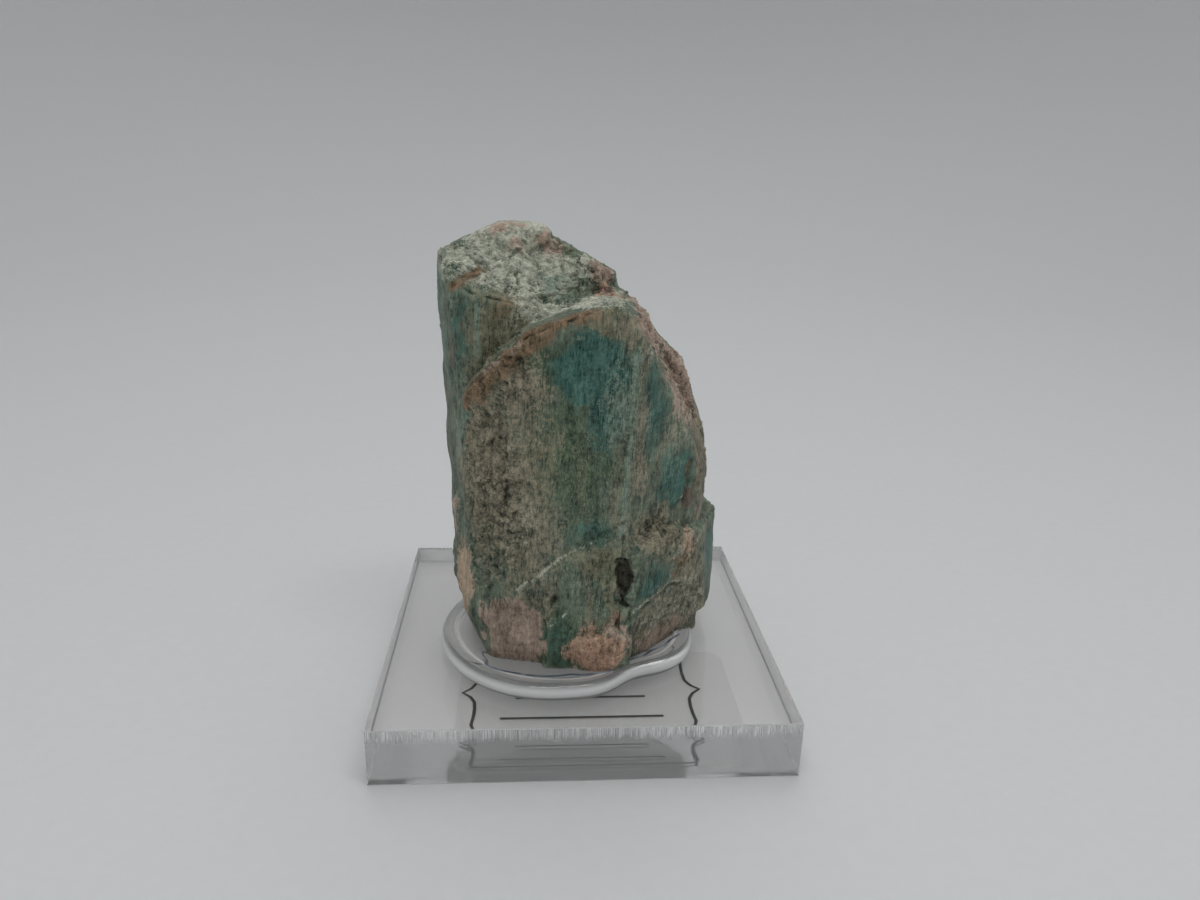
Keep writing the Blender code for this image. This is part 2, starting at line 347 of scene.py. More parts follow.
def within(points: np.ndarray, centre: Point, reach: Point, soft: float) -> np.ndarray:
    """How far each point lies inside an egg-shaped area.

    Args:
        points: Places in millimetres, one row each.
        centre: The area's middle.
        reach: How far the area goes along X, Y and Z.
        soft: The share of the reach over which its edge fades.

    Returns:
        1 in the middle, 0 from the reach on.
    """
    distance = np.linalg.norm((points - np.array(centre)) / np.array(reach), axis=1)
    return smoothstep(1.0 - distance, 0.0, soft)


def unit(rows: np.ndarray) -> np.ndarray:
    """Rows of three numbers, each brought to length 1."""
    return rows / np.linalg.norm(rows, axis=1, keepdims=True)


def scaled(colour: Point, share: float) -> Point:
    """A colour made darker or lighter by a share."""
    return tuple(part * share for part in colour)


def smooth_share(share: float) -> float:
    """A share from 0 to 1 that starts and ends softly."""
    return (1.0 - math.cos(math.pi * share)) / 2


def scatter(cells: np.ndarray, salt: int) -> np.ndarray:
    """A fixed random number for each cell of a unit grid.

    Args:
        cells: Whole numbers, one row of three for each cell.
        salt: Picks one of many sets of numbers.

    Returns:
        Numbers from 0 to 1.
    """
    mixed = cells @ np.array(HASH_FACTORS[:3]) + salt * HASH_FACTORS[3]
    mixed = (mixed ^ (mixed >> 13)) * HASH_FACTORS[4]
    mixed = (mixed ^ (mixed >> 16)) * HASH_FACTORS[5]
    return ((mixed ^ (mixed >> 15)) & 0xFFFFFF) / 0xFFFFFF


def waves(points: np.ndarray, salt: int) -> np.ndarray:
    """Smooth noise with one turn to each unit.

    Args:
        points: Places, one row each.
        salt: Picks the pattern.

    Returns:
        Numbers about -1 to 1.
    """
    cells = np.floor(points).astype(np.int64)
    parts = points - cells
    fade = parts**3 * (parts * (parts * 6.0 - 15.0) + 10.0)
    total = np.zeros(len(points))
    for corner in itertools.product((0, 1), repeat=3):
        drawn = [scatter(cells + corner, salt * 3 + axis) for axis in range(3)]
        lean = np.stack(drawn, axis=1) * 2.0 - 1.0
        share = np.prod(np.where(corner, fade, 1.0 - fade), axis=1)
        total += share * np.einsum("ij,ij->i", lean, parts - corner)
    return total * WAVE_GAIN


def fractal(points: np.ndarray, per_mm: Point, salt: int, octaves: int = 4, fall: float = 0.5) -> np.ndarray:
    """Layered noise at each point.

    Args:
        points: Places in millimetres, one row each.
        per_mm: How often the noise turns in a millimetre along X, Y and Z.
        salt: Picks the pattern.
        octaves: The number of layers.
        fall: How much of each layer's height the next finer one has.

    Returns:
        One number for each point, about -1 to 1.
    """
    places = points * np.array(per_mm)
    return sum(fall**layer * waves(places * LAYER_STEP**layer, salt + layer) for layer in range(octaves))


def wander(points: np.ndarray, per_mm: float, salt: int) -> np.ndarray:
    """Smooth noise along X, Y and Z at each point.

    Args:
        points: Places in millimetres, one row each.
        per_mm: How often the noise turns in a millimetre.
        salt: Picks the pattern.

    Returns:
        One row of three numbers for each point.
    """
    return np.stack([waves(points * per_mm, salt + 50 * axis) for axis in range(3)], axis=1)


def chips(points: np.ndarray, size: Point, salt: int) -> np.ndarray:
    """Height of a surface that broke into small tilted flat chips with cliffs between them.

    Args:
        points: Places in millimetres, one row each.
        size: The usual width of a chip in millimetres along X, Y and Z.
        salt: Picks the pattern.

    Returns:
        One height for each point, about -1 to 1.
    """
    places = points / np.array(size)
    cells = np.floor(places).astype(np.int64)
    nearest = np.full(len(points), np.inf)
    height = np.zeros(len(points))
    for step in itertools.product((-1, 0, 1), repeat=3):
        cell = cells + step
        seeds = np.stack([scatter(cell, salt + number) for number in range(7)], axis=1)
        away = places - cell - seeds[:, :3]
        square = np.einsum("ij,ij->i", away, away)
        lean = np.einsum("ij,ij->i", away, seeds[:, 3:6] - 0.5)
        closer = square < nearest
        nearest = np.where(closer, square, nearest)
        height = np.where(closer, CHIP_LEAN * lean + CHIP_STEP * (seeds[:, 6] - 0.5), height)
    return height


# The crystals and lumps that grew together, as in the part
CRYSTAL_BLOCKS = {
    "front_crystal": Block(
        plan=((-13.2, 3.0), (-13.2, -6.2), (-11.4, -9.7), (-8.0, -12.1), (-4.6, -12.95),
              (5.3, -13.3), (12.4, -7.7), (14.0, -3.5), (14.2, 3.0)),
        top=47.6,
        cuts=(((2.0, -12.9, 46.9), (-0.09, -0.03, 1.0)),
              ((-11.2, -10.0, 39.3), (-0.70, 0.06, 0.70)),
              ((-5.6, -12.7, 44.7), (-0.39, 0.04, 0.92)),
              ((5.0, -6.0, 45.8), (0.58, -0.03, 0.81)),
              ((7.5, 0.0, 43.3), (0.88, -0.12, 0.456)),
              ((13.0, 0.0, 35.0), (0.912, -0.308, 0.27)),
              ((5.0, -13.3, 44.0), (0.62, -0.78, -0.045)),
              ((-10.9, -9.9, 8.5), (-0.90, -0.25, -0.35)))),
    "rear_crystal": Block(
        plan=((-16.7, 4.6), (-14.4, -4.3), (-11.4, -5.4), (3.0, -5.7), (3.8, -1.0), (3.8, 7.0),
              (0.5, 9.2), (-12.5, 9.2)),
        top=56.0,
        cuts=(((-16.5, 4.0, 46.5), (-0.96, -0.25, -0.055)),
              ((-12.0, -4.7, 47.6), (0.208, -0.479, 0.853)),
              ((-12.9, 8.0, 52.1), (-0.42, 0.0, 0.91)),
              ((-1.8, 6.0, 51.3), (0.45, 0.0, 0.89)),
              ((-5.0, 9.0, 50.0), (0.0, 0.8, 0.6)))),
    "ridge": Block(
        plan=((-11.8, 3.5), (-7.5, 2.6), (-3.9, 4.0), (-3.6, 8.6), (-11.5, 8.9)),
        top=53.6,
        cuts=(((-12.4, 6.0, 52.3), (-0.42, 0.0, 0.91)),
              ((-7.0, 3.4, 52.4), (0.05, -0.75, 0.66)),
              ((-4.2, 6.0, 53.2), (0.7, 0.0, 0.7)),
              ((-7.0, 8.6, 52.6), (0.0, 0.7, 0.7)))),
    "knob": Block(
        plan=((-0.3, -1.8), (2.4, -1.6), (3.4, 0.8), (3.2, 4.2), (-0.3, 4.4)),
        top=50.4,
        cuts=(((1.2, -1.6, 49.6), (-0.1, -0.6, 0.8)),
              ((2.4, 1.0, 49.0), (0.62, 0.0, 0.78)),
              ((3.2, 1.0, 47.2), (0.95, -0.2, -0.25)))),
    "right_back": Block(
        plan=((0.0, -3.4), (13.4, -2.2), (14.9, 1.6), (12.4, 7.2), (4.4, 8.8), (0.0, 8.4)),
        top=45.0,
        cuts=(((8.9, 2.0, 41.4), (0.74, 0.0, 0.67)),
              ((12.9, 2.0, 34.8), (0.93, -0.05, 0.37)),
              ((6.0, 8.0, 38.5), (0.1, 0.72, 0.69)),
              ((14.8, 2.0, 24.0), (0.99, 0.1, 0.03)))),
    "lower_right": Block(
        plan=((4.1, -14.1), (13.5, -7.3), (16.1, 0.4), (15.7, 5.0), (10.0, 6.8), (2.0, 0.0)),
        top=23.0,
        cuts=(((15.3, -1.0, 21.4), (0.36, -0.1, 0.93)),
              ((10.3, -9.7, 16.4), (0.61, -0.75, -0.20)),
              ((16.2, 0.0, 9.4), (0.60, -0.42, -0.68)),
              ((9.0, -10.2, 22.5), (0.30, -0.55, 0.78)))),
    "left_flank": Block(
        plan=((-15.3, 5.4), (-14.9, -0.8), (-12.2, -8.6), (-8.0, -6.0), (-8.0, 6.0)),
        top=23.6,
        cuts=(((-15.2, 0.0, 22.4), (-0.45, -0.2, 0.87)),
              ((-15.1, 2.0, 12.4), (-0.86, -0.2, -0.40)),
              ((-12.6, -6.0, 9.5), (-0.80, -0.4, -0.40)))),
    "lower_plate": Block(
        plan=((-8.2, -11.0), (-7.4, -12.95), (4.2, -14.0), (4.6, -10.0)),
        top=25.0,
        cuts=(((-1.0, -13.0, 21.0), (-0.537, 0.0, 0.843)),
              ((3.9, -13.0, 18.0), (0.99, 0.0, -0.13)),
              ((0.0, -13.5, 12.0), (0.1, -1.0, -0.06)))),
    "foot_lump": Block(
        plan=((-1.0, -12.0), (-0.6, -13.7), (3.3, -14.6), (5.2, -13.2), (5.0, -11.0)),
        top=13.0,
        cuts=(((1.0, -13.6, 11.8), (-0.35, -0.45, 0.82)),
              ((4.6, -13.0, 11.6), (0.60, -0.2, 0.77)))),
    "back_slab": Block(
        plan=((-13.5, 4.0), (4.0, 4.0), (9.5, 6.0), (7.5, 9.6), (-4.0, 10.8), (-11.0, 10.2)),
        top=36.0,
        cuts=(((-3.0, 10.5, 31.0), (-0.15, 0.55, 0.82)),
              ((-12.0, 8.0, 27.0), (-0.75, 0.3, 0.58)),
              ((7.0, 8.6, 24.0), (0.55, 0.5, 0.67)),
              ((-3.0, 10.3, 12.0), (0.0, 0.94, -0.34)))),
}

# Places where the group is broken away
BROKEN_PLACES = {
    "flat_foot": Block(
        plan=((-40.0, -40.0), (40.0, -40.0), (40.0, 40.0), (-40.0, 40.0)),
        top=7.45, bottom=-10.0),
    "pink_facet": Block(
        plan=((-13.5, -10.0), (-13.5, -17.0), (-4.5, -17.0), (-4.5, -12.2)),
        top=17.2, bottom=5.0,
        cuts=(((-8.0, -11.65, 12.0), (0.28, 0.95, 0.10)),
              ((-9.8, -11.0, 15.2), (-0.50, 0.0, 0.86)),
              ((-6.2, -12.6, 15.8), (0.42, 0.0, 0.90)))),
    "pit": Block(
        plan=((3.0, -11.6), (2.5, -15.0), (5.7, -15.0), (5.0, -11.6)),
        top=21.2, bottom=14.6,
        cuts=(((5.2, -13.0, 18.0), (0.95, 0.0, 0.30)),
              ((3.2, -13.0, 18.0), (-0.97, 0.0, -0.22)))),
    "left_notch": Block(
        plan=((-18.0, 8.0), (-18.0, -8.0), (-13.8, -4.8), (-14.6, 2.0)),
        top=24.6, bottom=22.3, cuts=(((-15.6, 0.0, 24.0), (0.35, 0.0, 0.94)),)),
    "right_notch": Block(
        plan=((14.2, -1.5), (18.0, -5.0), (18.0, 7.0), (14.4, 3.5)),
        top=22.6, bottom=21.2, cuts=(((15.2, 0.0, 22.4), (-0.5, 0.0, 0.87)),)),
}

# The ways that some crystal faces look
FRONT_RIGHT = (0.62, -0.785, 0.0)
FRONT_OUTER = (0.93, -0.36, 0.0)
LOWER_RIGHT_SIDE = (0.95, -0.32, 0.0)
LOWER_OBLIQUE = (0.64, -0.52, -0.57)
PINK_FACET_WAY = (-0.28, -0.95, -0.10)

# How coarse the broken surface is: middle, reach, and height of its chips
CHIPPED_AREAS = (
    ((-6.0, 1.0, 50.0), (13.5, 10.0, 5.4), 0.50),
    ((-3.4, -4.6, 46.2), (5.4, 3.6, 2.6), 0.50),
    ((3.0, -8.0, 47.2), (7.5, 7.0, 1.6), 0.45),
    ((2.0, -0.6, 48.6), (2.6, 3.4, 3.0), 0.80),
    ((8.0, -6.0, 43.5), (4.8, 9.0, 3.4), 0.60),
    ((6.4, 1.0, 45.0), (4.6, 6.0, 3.0), 0.60),
    ((11.0, -2.5, 39.0), (5.4, 7.5, 8.0), 0.50),
    ((14.3, -1.5, 28.5), (1.8, 4.0, 9.0), 0.35),
    ((-10.6, -10.0, 28.0), (7.0, 6.0, 17.0), 0.42),
    ((-8.2, -10.0, 41.0), (5.4, 5.0, 5.4), 0.55),
    ((2.0, -13.8, 10.0), (4.8, 3.0, 3.8), 0.26),
    ((0.0, 11.0, 25.0), (17.0, 5.5, 22.0), 0.55),
    ((8.5, -10.5, 22.0), (4.8, 3.4, 3.4), 0.42),
    ((9.0, -10.0, 11.0), (6.5, 4.5, 4.0), 0.22),
    ((-13.6, -1.0, 15.0), (2.4, 6.0, 7.0), 0.30),
    ((4.2, -11.5, 17.0), (2.2, 3.0, 4.6), 0.60),
    ((-7.8, -11.6, 11.0), (4.4, 2.6, 5.0), 0.16),
)

# Layers of chips: share of the height, usual width of a chip, and its draw
CHIP_LAYERS = (
    (0.62, (2.6, 2.6, 3.4), Salt.WIDE_CHIP),
    (0.42, (1.2, 1.2, 1.6), Salt.CHIP),
    (0.36, (0.62, 0.62, 0.8), Salt.CRUMB),
)

PATCHES = {
    # Glassy blue-teal places
    Tone.DEEP: (
        Patch((0.6, -13.1, 41.0), (5.4, 4.0, 5.2), 1.0, 0.5),
        Patch((1.6, -13.2, 36.0), (3.8, 3.0, 7.5), 0.75),
        Patch((9.9, -8.6, 28.4), (3.6, 4.4, 5.0), 0.80, 0.6, FRONT_RIGHT),
        Patch((7.0, -11.4, 36.6), (3.4, 4.0, 8.5), 0.75, 0.8, FRONT_RIGHT),
        Patch((-3.3, -13.4, 11.0), (4.0, 3.0, 6.4), 0.45),
        Patch((-5.4, -12.9, 19.6), (3.0, 3.0, 3.4), 0.7),
        Patch((0.6, -13.4, 23.4), (4.4, 3.0, 2.8), 0.6),
        Patch((7.6, -11.8, 16.8), (4.6, 4.0, 5.0), 0.65),
        Patch((15.2, -3.0, 17.0), (3.4, 6.5, 9.0), 0.65, 0.8, LOWER_RIGHT_SIDE),
        Patch((-13.3, -5.0, 43.0), (2.0, 3.0, 8.0), 0.6),
        Patch((-1.2, 1.6, 48.8), (3.8, 3.6, 2.2), 0.80, 0.9),
        Patch((-3.6, -2.6, 47.0), (2.4, 2.4, 1.4), 0.40, 0.9),
    ),
    # Green stretches of the front
    Tone.GREEN: (
        Patch((-2.8, -13.4, 11.6), (3.4, 3.0, 6.0), 0.8, 0.6),
        Patch((-0.6, -13.1, 32.0), (6.4, 4.0, 14.0), 1.0, 0.9),
        Patch((-4.6, -12.8, 41.0), (4.0, 3.5, 5.6), 0.85),
    ),
    # Grey-brown granular crust
    Tone.CRUST: (
        Patch((-9.8, -10.6, 29.0), (7.4, 6.5, 16.0), 1.0),
        Patch((-13.6, -5.4, 27.6), (2.8, 4.0, 5.0), 1.0, 0.6),
        Patch((-7.4, -1.0, 49.0), (3.4, 3.2, 2.0), 0.75, 0.9),
        Patch((-6.6, -12.6, 22.5), (6.4, 4.0, 10.0), 0.90, 0.9),
        Patch((-7.2, -12.4, 38.5), (5.0, 3.6, 7.5), 0.90, 0.9),
        Patch((7.8, -10.6, 22.6), (6.4, 4.5, 4.4), 1.0),
        Patch((5.6, -12.5, 32.0), (2.4, 3.0, 12.5), 0.70, 0.9),
        Patch((9.6, -9.0, 33.5), (2.6, 3.6, 4.0), 0.60, 0.9, FRONT_RIGHT),
        Patch((-5.6, -13.2, 15.0), (3.4, 3.0, 5.5), 0.60),
        Patch((13.6, -4.0, 28.0), (3.0, 6.5, 12.0), 1.0, 0.6, FRONT_OUTER),
        Patch((10.0, -8.5, 12.0), (10.0, 8.0, 7.0), 1.0, 0.4, LOWER_OBLIQUE),
        Patch((9.8, -10.2, 10.8), (6.4, 5.0, 5.2), 1.0, 0.3),
        Patch((12.0, -8.0, 18.0), (3.0, 4.0, 5.5), 0.8),
        Patch((-13.8, -5.0, 11.5), (3.2, 6.0, 4.0), 0.8),
        Patch((4.6, -12.8, 44.8), (2.6, 3.6, 3.4), 0.9),
        Patch((0.0, 11.0, 24.0), (19.0, 6.5, 24.0), 0.65, 0.9),
    ),
    # Pinkish feldspar
    Tone.PINK: (
        Patch((-8.0, -11.5, 11.2), (4.8, 3.2, 5.6), 1.0, 0.30, PINK_FACET_WAY),
        Patch((11.2, -3.5, 38.0), (5.4, 9.5, 9.0), 1.0),
        Patch((7.4, -5.0, 43.8), (5.0, 10.0, 4.2), 1.0, 0.6),
        Patch((6.4, 1.0, 45.0), (4.6, 6.0, 3.0), 0.80),
        Patch((9.8, -8.0, 38.0), (2.2, 3.4, 5.5), 0.85),
        Patch((9.4, -9.4, 9.0), (8.0, 6.5, 3.0), 0.9),
        Patch((11.6, -8.8, 20.8), (3.2, 3.0, 3.6), 0.70, 0.9),
        Patch((-8.8, 4.6, 53.4), (3.4, 3.0, 1.5), 0.9),
        Patch((-7.4, 3.2, 51.6), (1.6, 2.0, 1.8), 0.8),
        Patch((-3.2, 4.4, 51.4), (2.6, 3.0, 1.8), 0.8),
        Patch((2.0, -0.4, 49.2), (2.6, 3.6, 3.0), 1.0),
        Patch((-13.4, -5.4, 10.4), (3.0, 5.0, 3.4), 0.8),
        Patch((-15.0, -1.0, 21.6), (1.5, 4.4, 4.0), 1.0),
        Patch((6.0, 9.0, 30.0), (7.5, 5.0, 11.0), 0.7, 0.9),
        Patch((-13.6, -5.0, 18.6), (1.8, 4.0, 3.6), 0.60, 0.9),
        Patch((3.6, -14.0, 11.8), (2.0, 3.0, 4.4), 0.85),
    ),
    # Whitish broken feldspar
    Tone.PALE: (
        Patch((-6.5, 0.0, 49.6), (12.5, 8.0, 4.6), 1.0, 0.6),
        Patch((-4.8, -4.8, 45.6), (4.8, 3.4, 3.0), 1.0, 0.6),
        Patch((-1.4, -5.0, 46.4), (4.0, 3.6, 2.2), 1.0, 0.6),
        Patch((1.4, -7.5, 47.3), (7.6, 7.0, 1.7), 1.0, 0.6),
        Patch((-14.8, 0.4, 50.0), (3.4, 5.0, 1.8), 1.0, 0.7),
        Patch((-6.4, 5.0, 53.2), (6.4, 4.8, 2.8), 1.0, 0.5),
        Patch((-10.4, 3.0, 52.0), (4.0, 3.6, 2.6), 1.0, 0.3),
        Patch((-6.0, 4.6, 52.8), (5.0, 3.6, 1.8), 1.0, 0.3),
        Patch((-7.0, -12.4, 24.0), (4.6, 3.0, 5.0), 0.34, 0.9),
        Patch((10.0, -8.5, 12.0), (10.0, 8.0, 7.0), 0.38, 0.4, LOWER_OBLIQUE),
        Patch((-14.9, -1.5, 22.8), (2.0, 4.0, 1.3), 0.9),
        Patch((-12.2, -8.0, 31.0), (2.2, 3.0, 5.0), 0.40, 0.9),
        Patch((-7.8, -12.0, 32.6), (1.2, 2.0, 1.4), 0.45, 0.9),
        Patch((-10.6, -10.4, 23.2), (1.4, 1.8, 1.6), 0.45, 0.9),
        Patch((-11.9, -9.0, 16.9), (1.3, 1.8, 1.5), 0.45, 0.9),
        Patch((3.4, -13.1, 24.4), (1.8, 2.4, 1.0), 0.4, 0.9),
        Patch((6.0, -12.0, 42.0), (1.8, 2.4, 2.6), 0.6, 0.9),
        Patch((4.6, -1.0, 46.4), (3.0, 5.0, 2.2), 0.80, 0.9),
    ),
    # Rusty places
    Tone.RUST: (
        Patch((2.9, -2.7, 47.4), (2.2, 3.0, 1.7), 1.0, 0.5),
        Patch((1.2, -14.0, 10.0), (4.0, 3.0, 4.0), 1.0, 0.5),
    ),
    # Warm glassy places
    Tone.AMBER: (
        Patch((-13.4, -6.2, 15.2), (3.2, 5.4, 6.2), 1.0, 0.7),
        Patch((11.1, -8.5, 20.4), (1.4, 2.2, 3.2), 0.8),
        Patch((0.8, -14.0, 9.0), (2.6, 3.0, 2.8), 0.40),
        Patch((-6.6, -12.6, 33.6), (0.8, 1.6, 0.8), 0.7),
    ),
    # Paler, milkier stretches of the faces, and painted sheen, such as the gloss band down the front face
    Tone.MILKY_AND_SHEEN: (
        Patch((9.0, -8.4, 31.0), (3.6, 4.4, 8.0), 0.40, 0.9, FRONT_RIGHT),
        Patch((3.1, -13.2, 37.5), (2.6, 3.0, 9.0), 0.60, 0.9),
        Patch((3.0, -13.2, 28.0), (2.0, 3.0, 6.0), 0.35, 0.9),
        Patch((-16.4, 0.0, 42.0), (3.0, 6.0, 14.0), 0.85),
        Patch((-13.0, -7.4, 36.6), (1.5, 2.4, 4.6), 1.0, 0.5),
        Patch((-3.0, -1.4, 48.4), (6.5, 5.0, 3.0), 0.62, 0.9),
        Patch((1.6, 0.4, 49.6), (1.6, 2.6, 1.6), 0.85),
        Patch((-10.0, 2.2, 51.9), (3.0, 2.4, 1.8), 0.40, 0.7),
        Patch((-13.8, -4.7, 32.0), (2.4, 3.2, 11.0), 0.70),
        Patch((1.0, -13.6, 16.0), (3.4, 3.0, 4.6), 0.30),
        Patch((-14.2, -3.0, 21.0), (1.6, 4.5, 4.0), 0.55),
    ),
    # Brown stain on the rims and in the hollows
    Tone.BROWN: (
        Patch((-10.8, -9.8, 37.4), (1.8, 2.2, 3.6), 0.80, 0.9),
        Patch((-12.0, -8.8, 32.0), (1.6, 2.4, 2.6), 0.60, 0.9),
        Patch((3.4, -13.4, 13.4), (2.0, 3.0, 2.6), 0.8),
        Patch((10.8, -8.8, 18.4), (1.3, 2.4, 4.0), 0.7),
        Patch((13.4, -5.0, 33.0), (2.6, 3.6, 5.0), 0.7),
        Patch((-0.6, -13.1, 46.0), (3.4, 2.0, 0.9), 0.9),
        Patch((-9.0, -5.4, 45.5), (1.4, 2.0, 3.4), 0.5),
        Patch((-3.0, 10.6, 14.0), (11.0, 5.0, 9.0), 0.6, 0.9),
        Patch((-12.7, -3.4, 48.3), (3.4, 2.6, 1.1), 0.40),
        Patch((1.6, -14.2, 12.4), (2.6, 3.0, 2.0), 0.55),
    ),
    # Shaded hollows
    Tone.DARK: (
        Patch((2.6, -2.4, 47.1), (1.5, 2.2, 1.1), 0.75, 0.6),
        Patch((11.4, -7.3, 24.6), (0.9, 1.8, 3.4), 0.9, 0.9),
        Patch((4.2, -11.2, 17.6), (1.5, 2.4, 3.0), 0.7, 0.5),
    ),
    # Olive stretches of the front
    Tone.OLIVE: (
        Patch((-5.6, -12.8, 31.0), (4.4, 3.5, 13.0), 0.75, 0.9),
        Patch((-8.2, -5.6, 42.0), (6.4, 3.0, 9.5), 1.0, 0.7),
        Patch((1.6, -13.1, 45.5), (3.0, 3.0, 1.9), 1.0, 0.7),
        Patch((1.6, -13.7, 20.4), (4.6, 3.0, 3.4), 0.85),
        Patch((3.0, -13.7, 16.5), (2.0, 3.0, 6.5), 0.7),
        Patch((-7.0, -4.4, 46.6), (6.0, 3.0, 2.6), 0.6),
    ),
    # Whitish threads along the crystals' height
    Tone.STREAK: (
        Patch((0.0, -13.0, 29.0), (10.0, 4.0, 16.0), 1.0),
        Patch((4.6, -13.0, 35.0), (3.0, 3.0, 14.0), 1.0),
        Patch((8.6, -9.6, 34.0), (5.5, 5.0, 11.0), 1.0),
        Patch((-10.0, -5.2, 40.0), (6.0, 3.5, 11.0), 0.8),
        Patch((9.0, -10.0, 18.0), (7.0, 5.0, 6.0), 1.0),
        Patch((0.0, -13.4, 16.0), (9.0, 4.0, 8.0), 0.8),
    ),
    # Painted light: where the light falls more, such as on the ridge and the left faces, everything is a
    # shade lighter
    Tone.LIGHT: (
        Patch((-8.0, 4.4, 52.2), (6.0, 4.4, 2.4), 1.0, 0.8),
        Patch((-14.6, -4.5, 31.0), (2.6, 3.8, 9.0), 0.9, 0.9),
        Patch((-12.2, -8.4, 31.0), (2.8, 3.4, 6.0), 0.8, 0.9),
        Patch((-13.4, -6.2, 15.2), (3.4, 5.6, 6.6), 0.7, 0.9),
        Patch((9.4, -8.2, 31.5), (4.0, 4.6, 9.0), 0.45, 0.9),
    ),
}

VEINS = (
    Vein(Tone.PALE, ((-7.2, -12.7, 16.9), (-5.3, -13.0, 18.6), (-3.2, -13.0, 20.2), (-1.5, -13.2, 21.4),
                     (0.4, -13.2, 22.4), (2.6, -13.6, 23.5), (4.1, -13.5, 24.2)), 0.22, 0.75),
    Vein(Tone.PALE, ((-3.6, -13.4, 12.7), (-2.6, -13.4, 13.9), (-1.8, -13.4, 14.7)), 0.16, 0.7),
    Vein(Tone.MILKY_AND_SHEEN, ((-2.6, -13.1, 44.0), (0.2, -13.1, 44.2), (2.9, -13.2, 44.0)), 0.22, 0.8),
    # Painted sheen: the gloss band down the front face
    Vein(Tone.MILKY_AND_SHEEN, ((4.6, -13.3, 43.1), (4.4, -13.2, 38.0), (4.3, -13.2, 32.7), (3.9, -13.1, 27.3),
                     (3.7, -13.6, 23.6)), 0.55, 0.60),
    Vein(Tone.PALE, ((-8.6, -11.8, 15.6), (-6.8, -12.5, 15.6), (-5.2, -12.9, 14.4), (-4.8, -12.8, 11.5)),
         0.16, 0.55),
    Vein(Tone.PALE, ((4.0, -13.4, 24.0), (3.8, -13.9, 21.0), (3.2, -14.0, 18.5)), 0.30, 0.6),
    Vein(Tone.BROWN, ((-12.6, -7.4, 36.4), (-11.0, -9.8, 38.6), (-8.9, -11.6, 41.0), (-6.8, -12.4, 43.2),
                      (-4.8, -12.8, 44.9)), 1.7, 1.0),
    Vein(Tone.BROWN, ((-4.8, -12.8, 45.1), (-2.4, -13.0, 46.0), (0.4, -13.0, 46.6)), 0.9, 1.0),
    Vein(Tone.PINK, ((-10.6, -9.4, 39.6), (-8.6, -11.2, 41.6), (-6.6, -12.3, 43.6)), 0.5, 0.7),
    Vein(Tone.BROWN, ((-14.0, -4.4, 47.9), (-12.4, -3.4, 48.6), (-11.0, -1.4, 49.2)), 0.7, 0.9),
    Vein(Tone.BROWN, ((11.2, -7.4, 31.0), (11.4, -7.2, 27.0), (11.2, -7.6, 22.4)), 0.40, 0.8),
    Vein(Tone.PALE, ((4.8, -13.0, 25.3), (7.2, -11.0, 25.6), (9.4, -9.2, 25.3), (11.4, -7.2, 25.6)),
         0.20, 0.7),
    Vein(Tone.PALE, ((7.9, -10.4, 25.4), (8.6, -9.8, 27.2)), 0.14, 0.6),
    Vein(Tone.PALE, ((4.9, -13.4, 14.0), (7.4, -11.7, 15.4), (10.2, -9.7, 16.5), (12.6, -8.0, 14.6),
                     (14.4, -5.4, 12.4)), 0.20, 0.8),
    Vein(Tone.MILKY_AND_SHEEN, ((-14.4, -4.5, 47.0), (-14.4, -4.5, 38.0), (-14.2, -4.5, 30.0)), 0.55, 0.8),
    Vein(Tone.MILKY_AND_SHEEN, ((-11.4, -5.5, 46.5), (-11.4, -5.5, 40.5)), 0.45, 0.6),
    Vein(Tone.PINK, ((2.0, -14.2, 14.2), (4.6, -13.6, 12.6), (5.0, -13.2, 9.4)), 0.45, 0.9),
)

GROOVES = (
    Groove(((-7.0, -12.7, 17.4), (-5.3, -13.0, 19.0), (-3.2, -13.0, 20.6), (-1.5, -13.1, 21.8),
            (0.4, -13.1, 22.9), (2.6, -13.2, 24.0), (4.1, -13.2, 24.8)), 0.42, 0.16),
    Groove(((4.9, -13.0, 24.9), (7.2, -11.0, 25.1), (9.4, -9.2, 24.8), (11.6, -7.2, 25.0)), 0.42, 0.20),
    Groove(((4.6, -13.2, 20.8), (4.9, -13.2, 18.0), (5.4, -13.0, 15.4), (4.6, -13.6, 13.4)), 0.50, 0.35),
    Groove(((5.0, -13.4, 13.5), (7.4, -11.6, 14.9), (10.2, -9.5, 15.9), (12.6, -8.0, 14.0),
            (14.4, -5.4, 11.8)), 0.45, 0.32),
    Groove(((-4.9, -12.9, 15.8), (-4.4, -13.0, 12.0), (-4.2, -13.1, 8.6)), 0.45, 0.30),
    Groove(((-9.9, -10.6, 16.6), (-11.0, -9.8, 14.0), (-10.8, -9.9, 9.0)), 0.45, 0.25),
    Groove(((11.4, -7.3, 29.6), (11.5, -7.2, 26.4), (11.3, -7.5, 22.6), (11.2, -8.6, 19.6)), 0.45, 0.30),
    Groove(((-3.4, -13.3, 15.6), (-2.8, -13.4, 14.0), (-1.4, -13.5, 12.6)), 0.30, 0.20),
    Groove(((-12.8, -7.4, 23.6), (-10.4, -10.4, 24.2), (-7.4, -12.2, 23.4)), 0.40, 0.20),
    Groove(((4.6, -13.2, 43.4), (4.9, -13.2, 40.0), (4.5, -13.2, 36.0)), 0.35, 0.16),
    Groove(((-1.6, -6.4, 46.9), (1.4, -4.4, 47.3), (3.6, -3.4, 46.9)), 0.60, 0.40),
)

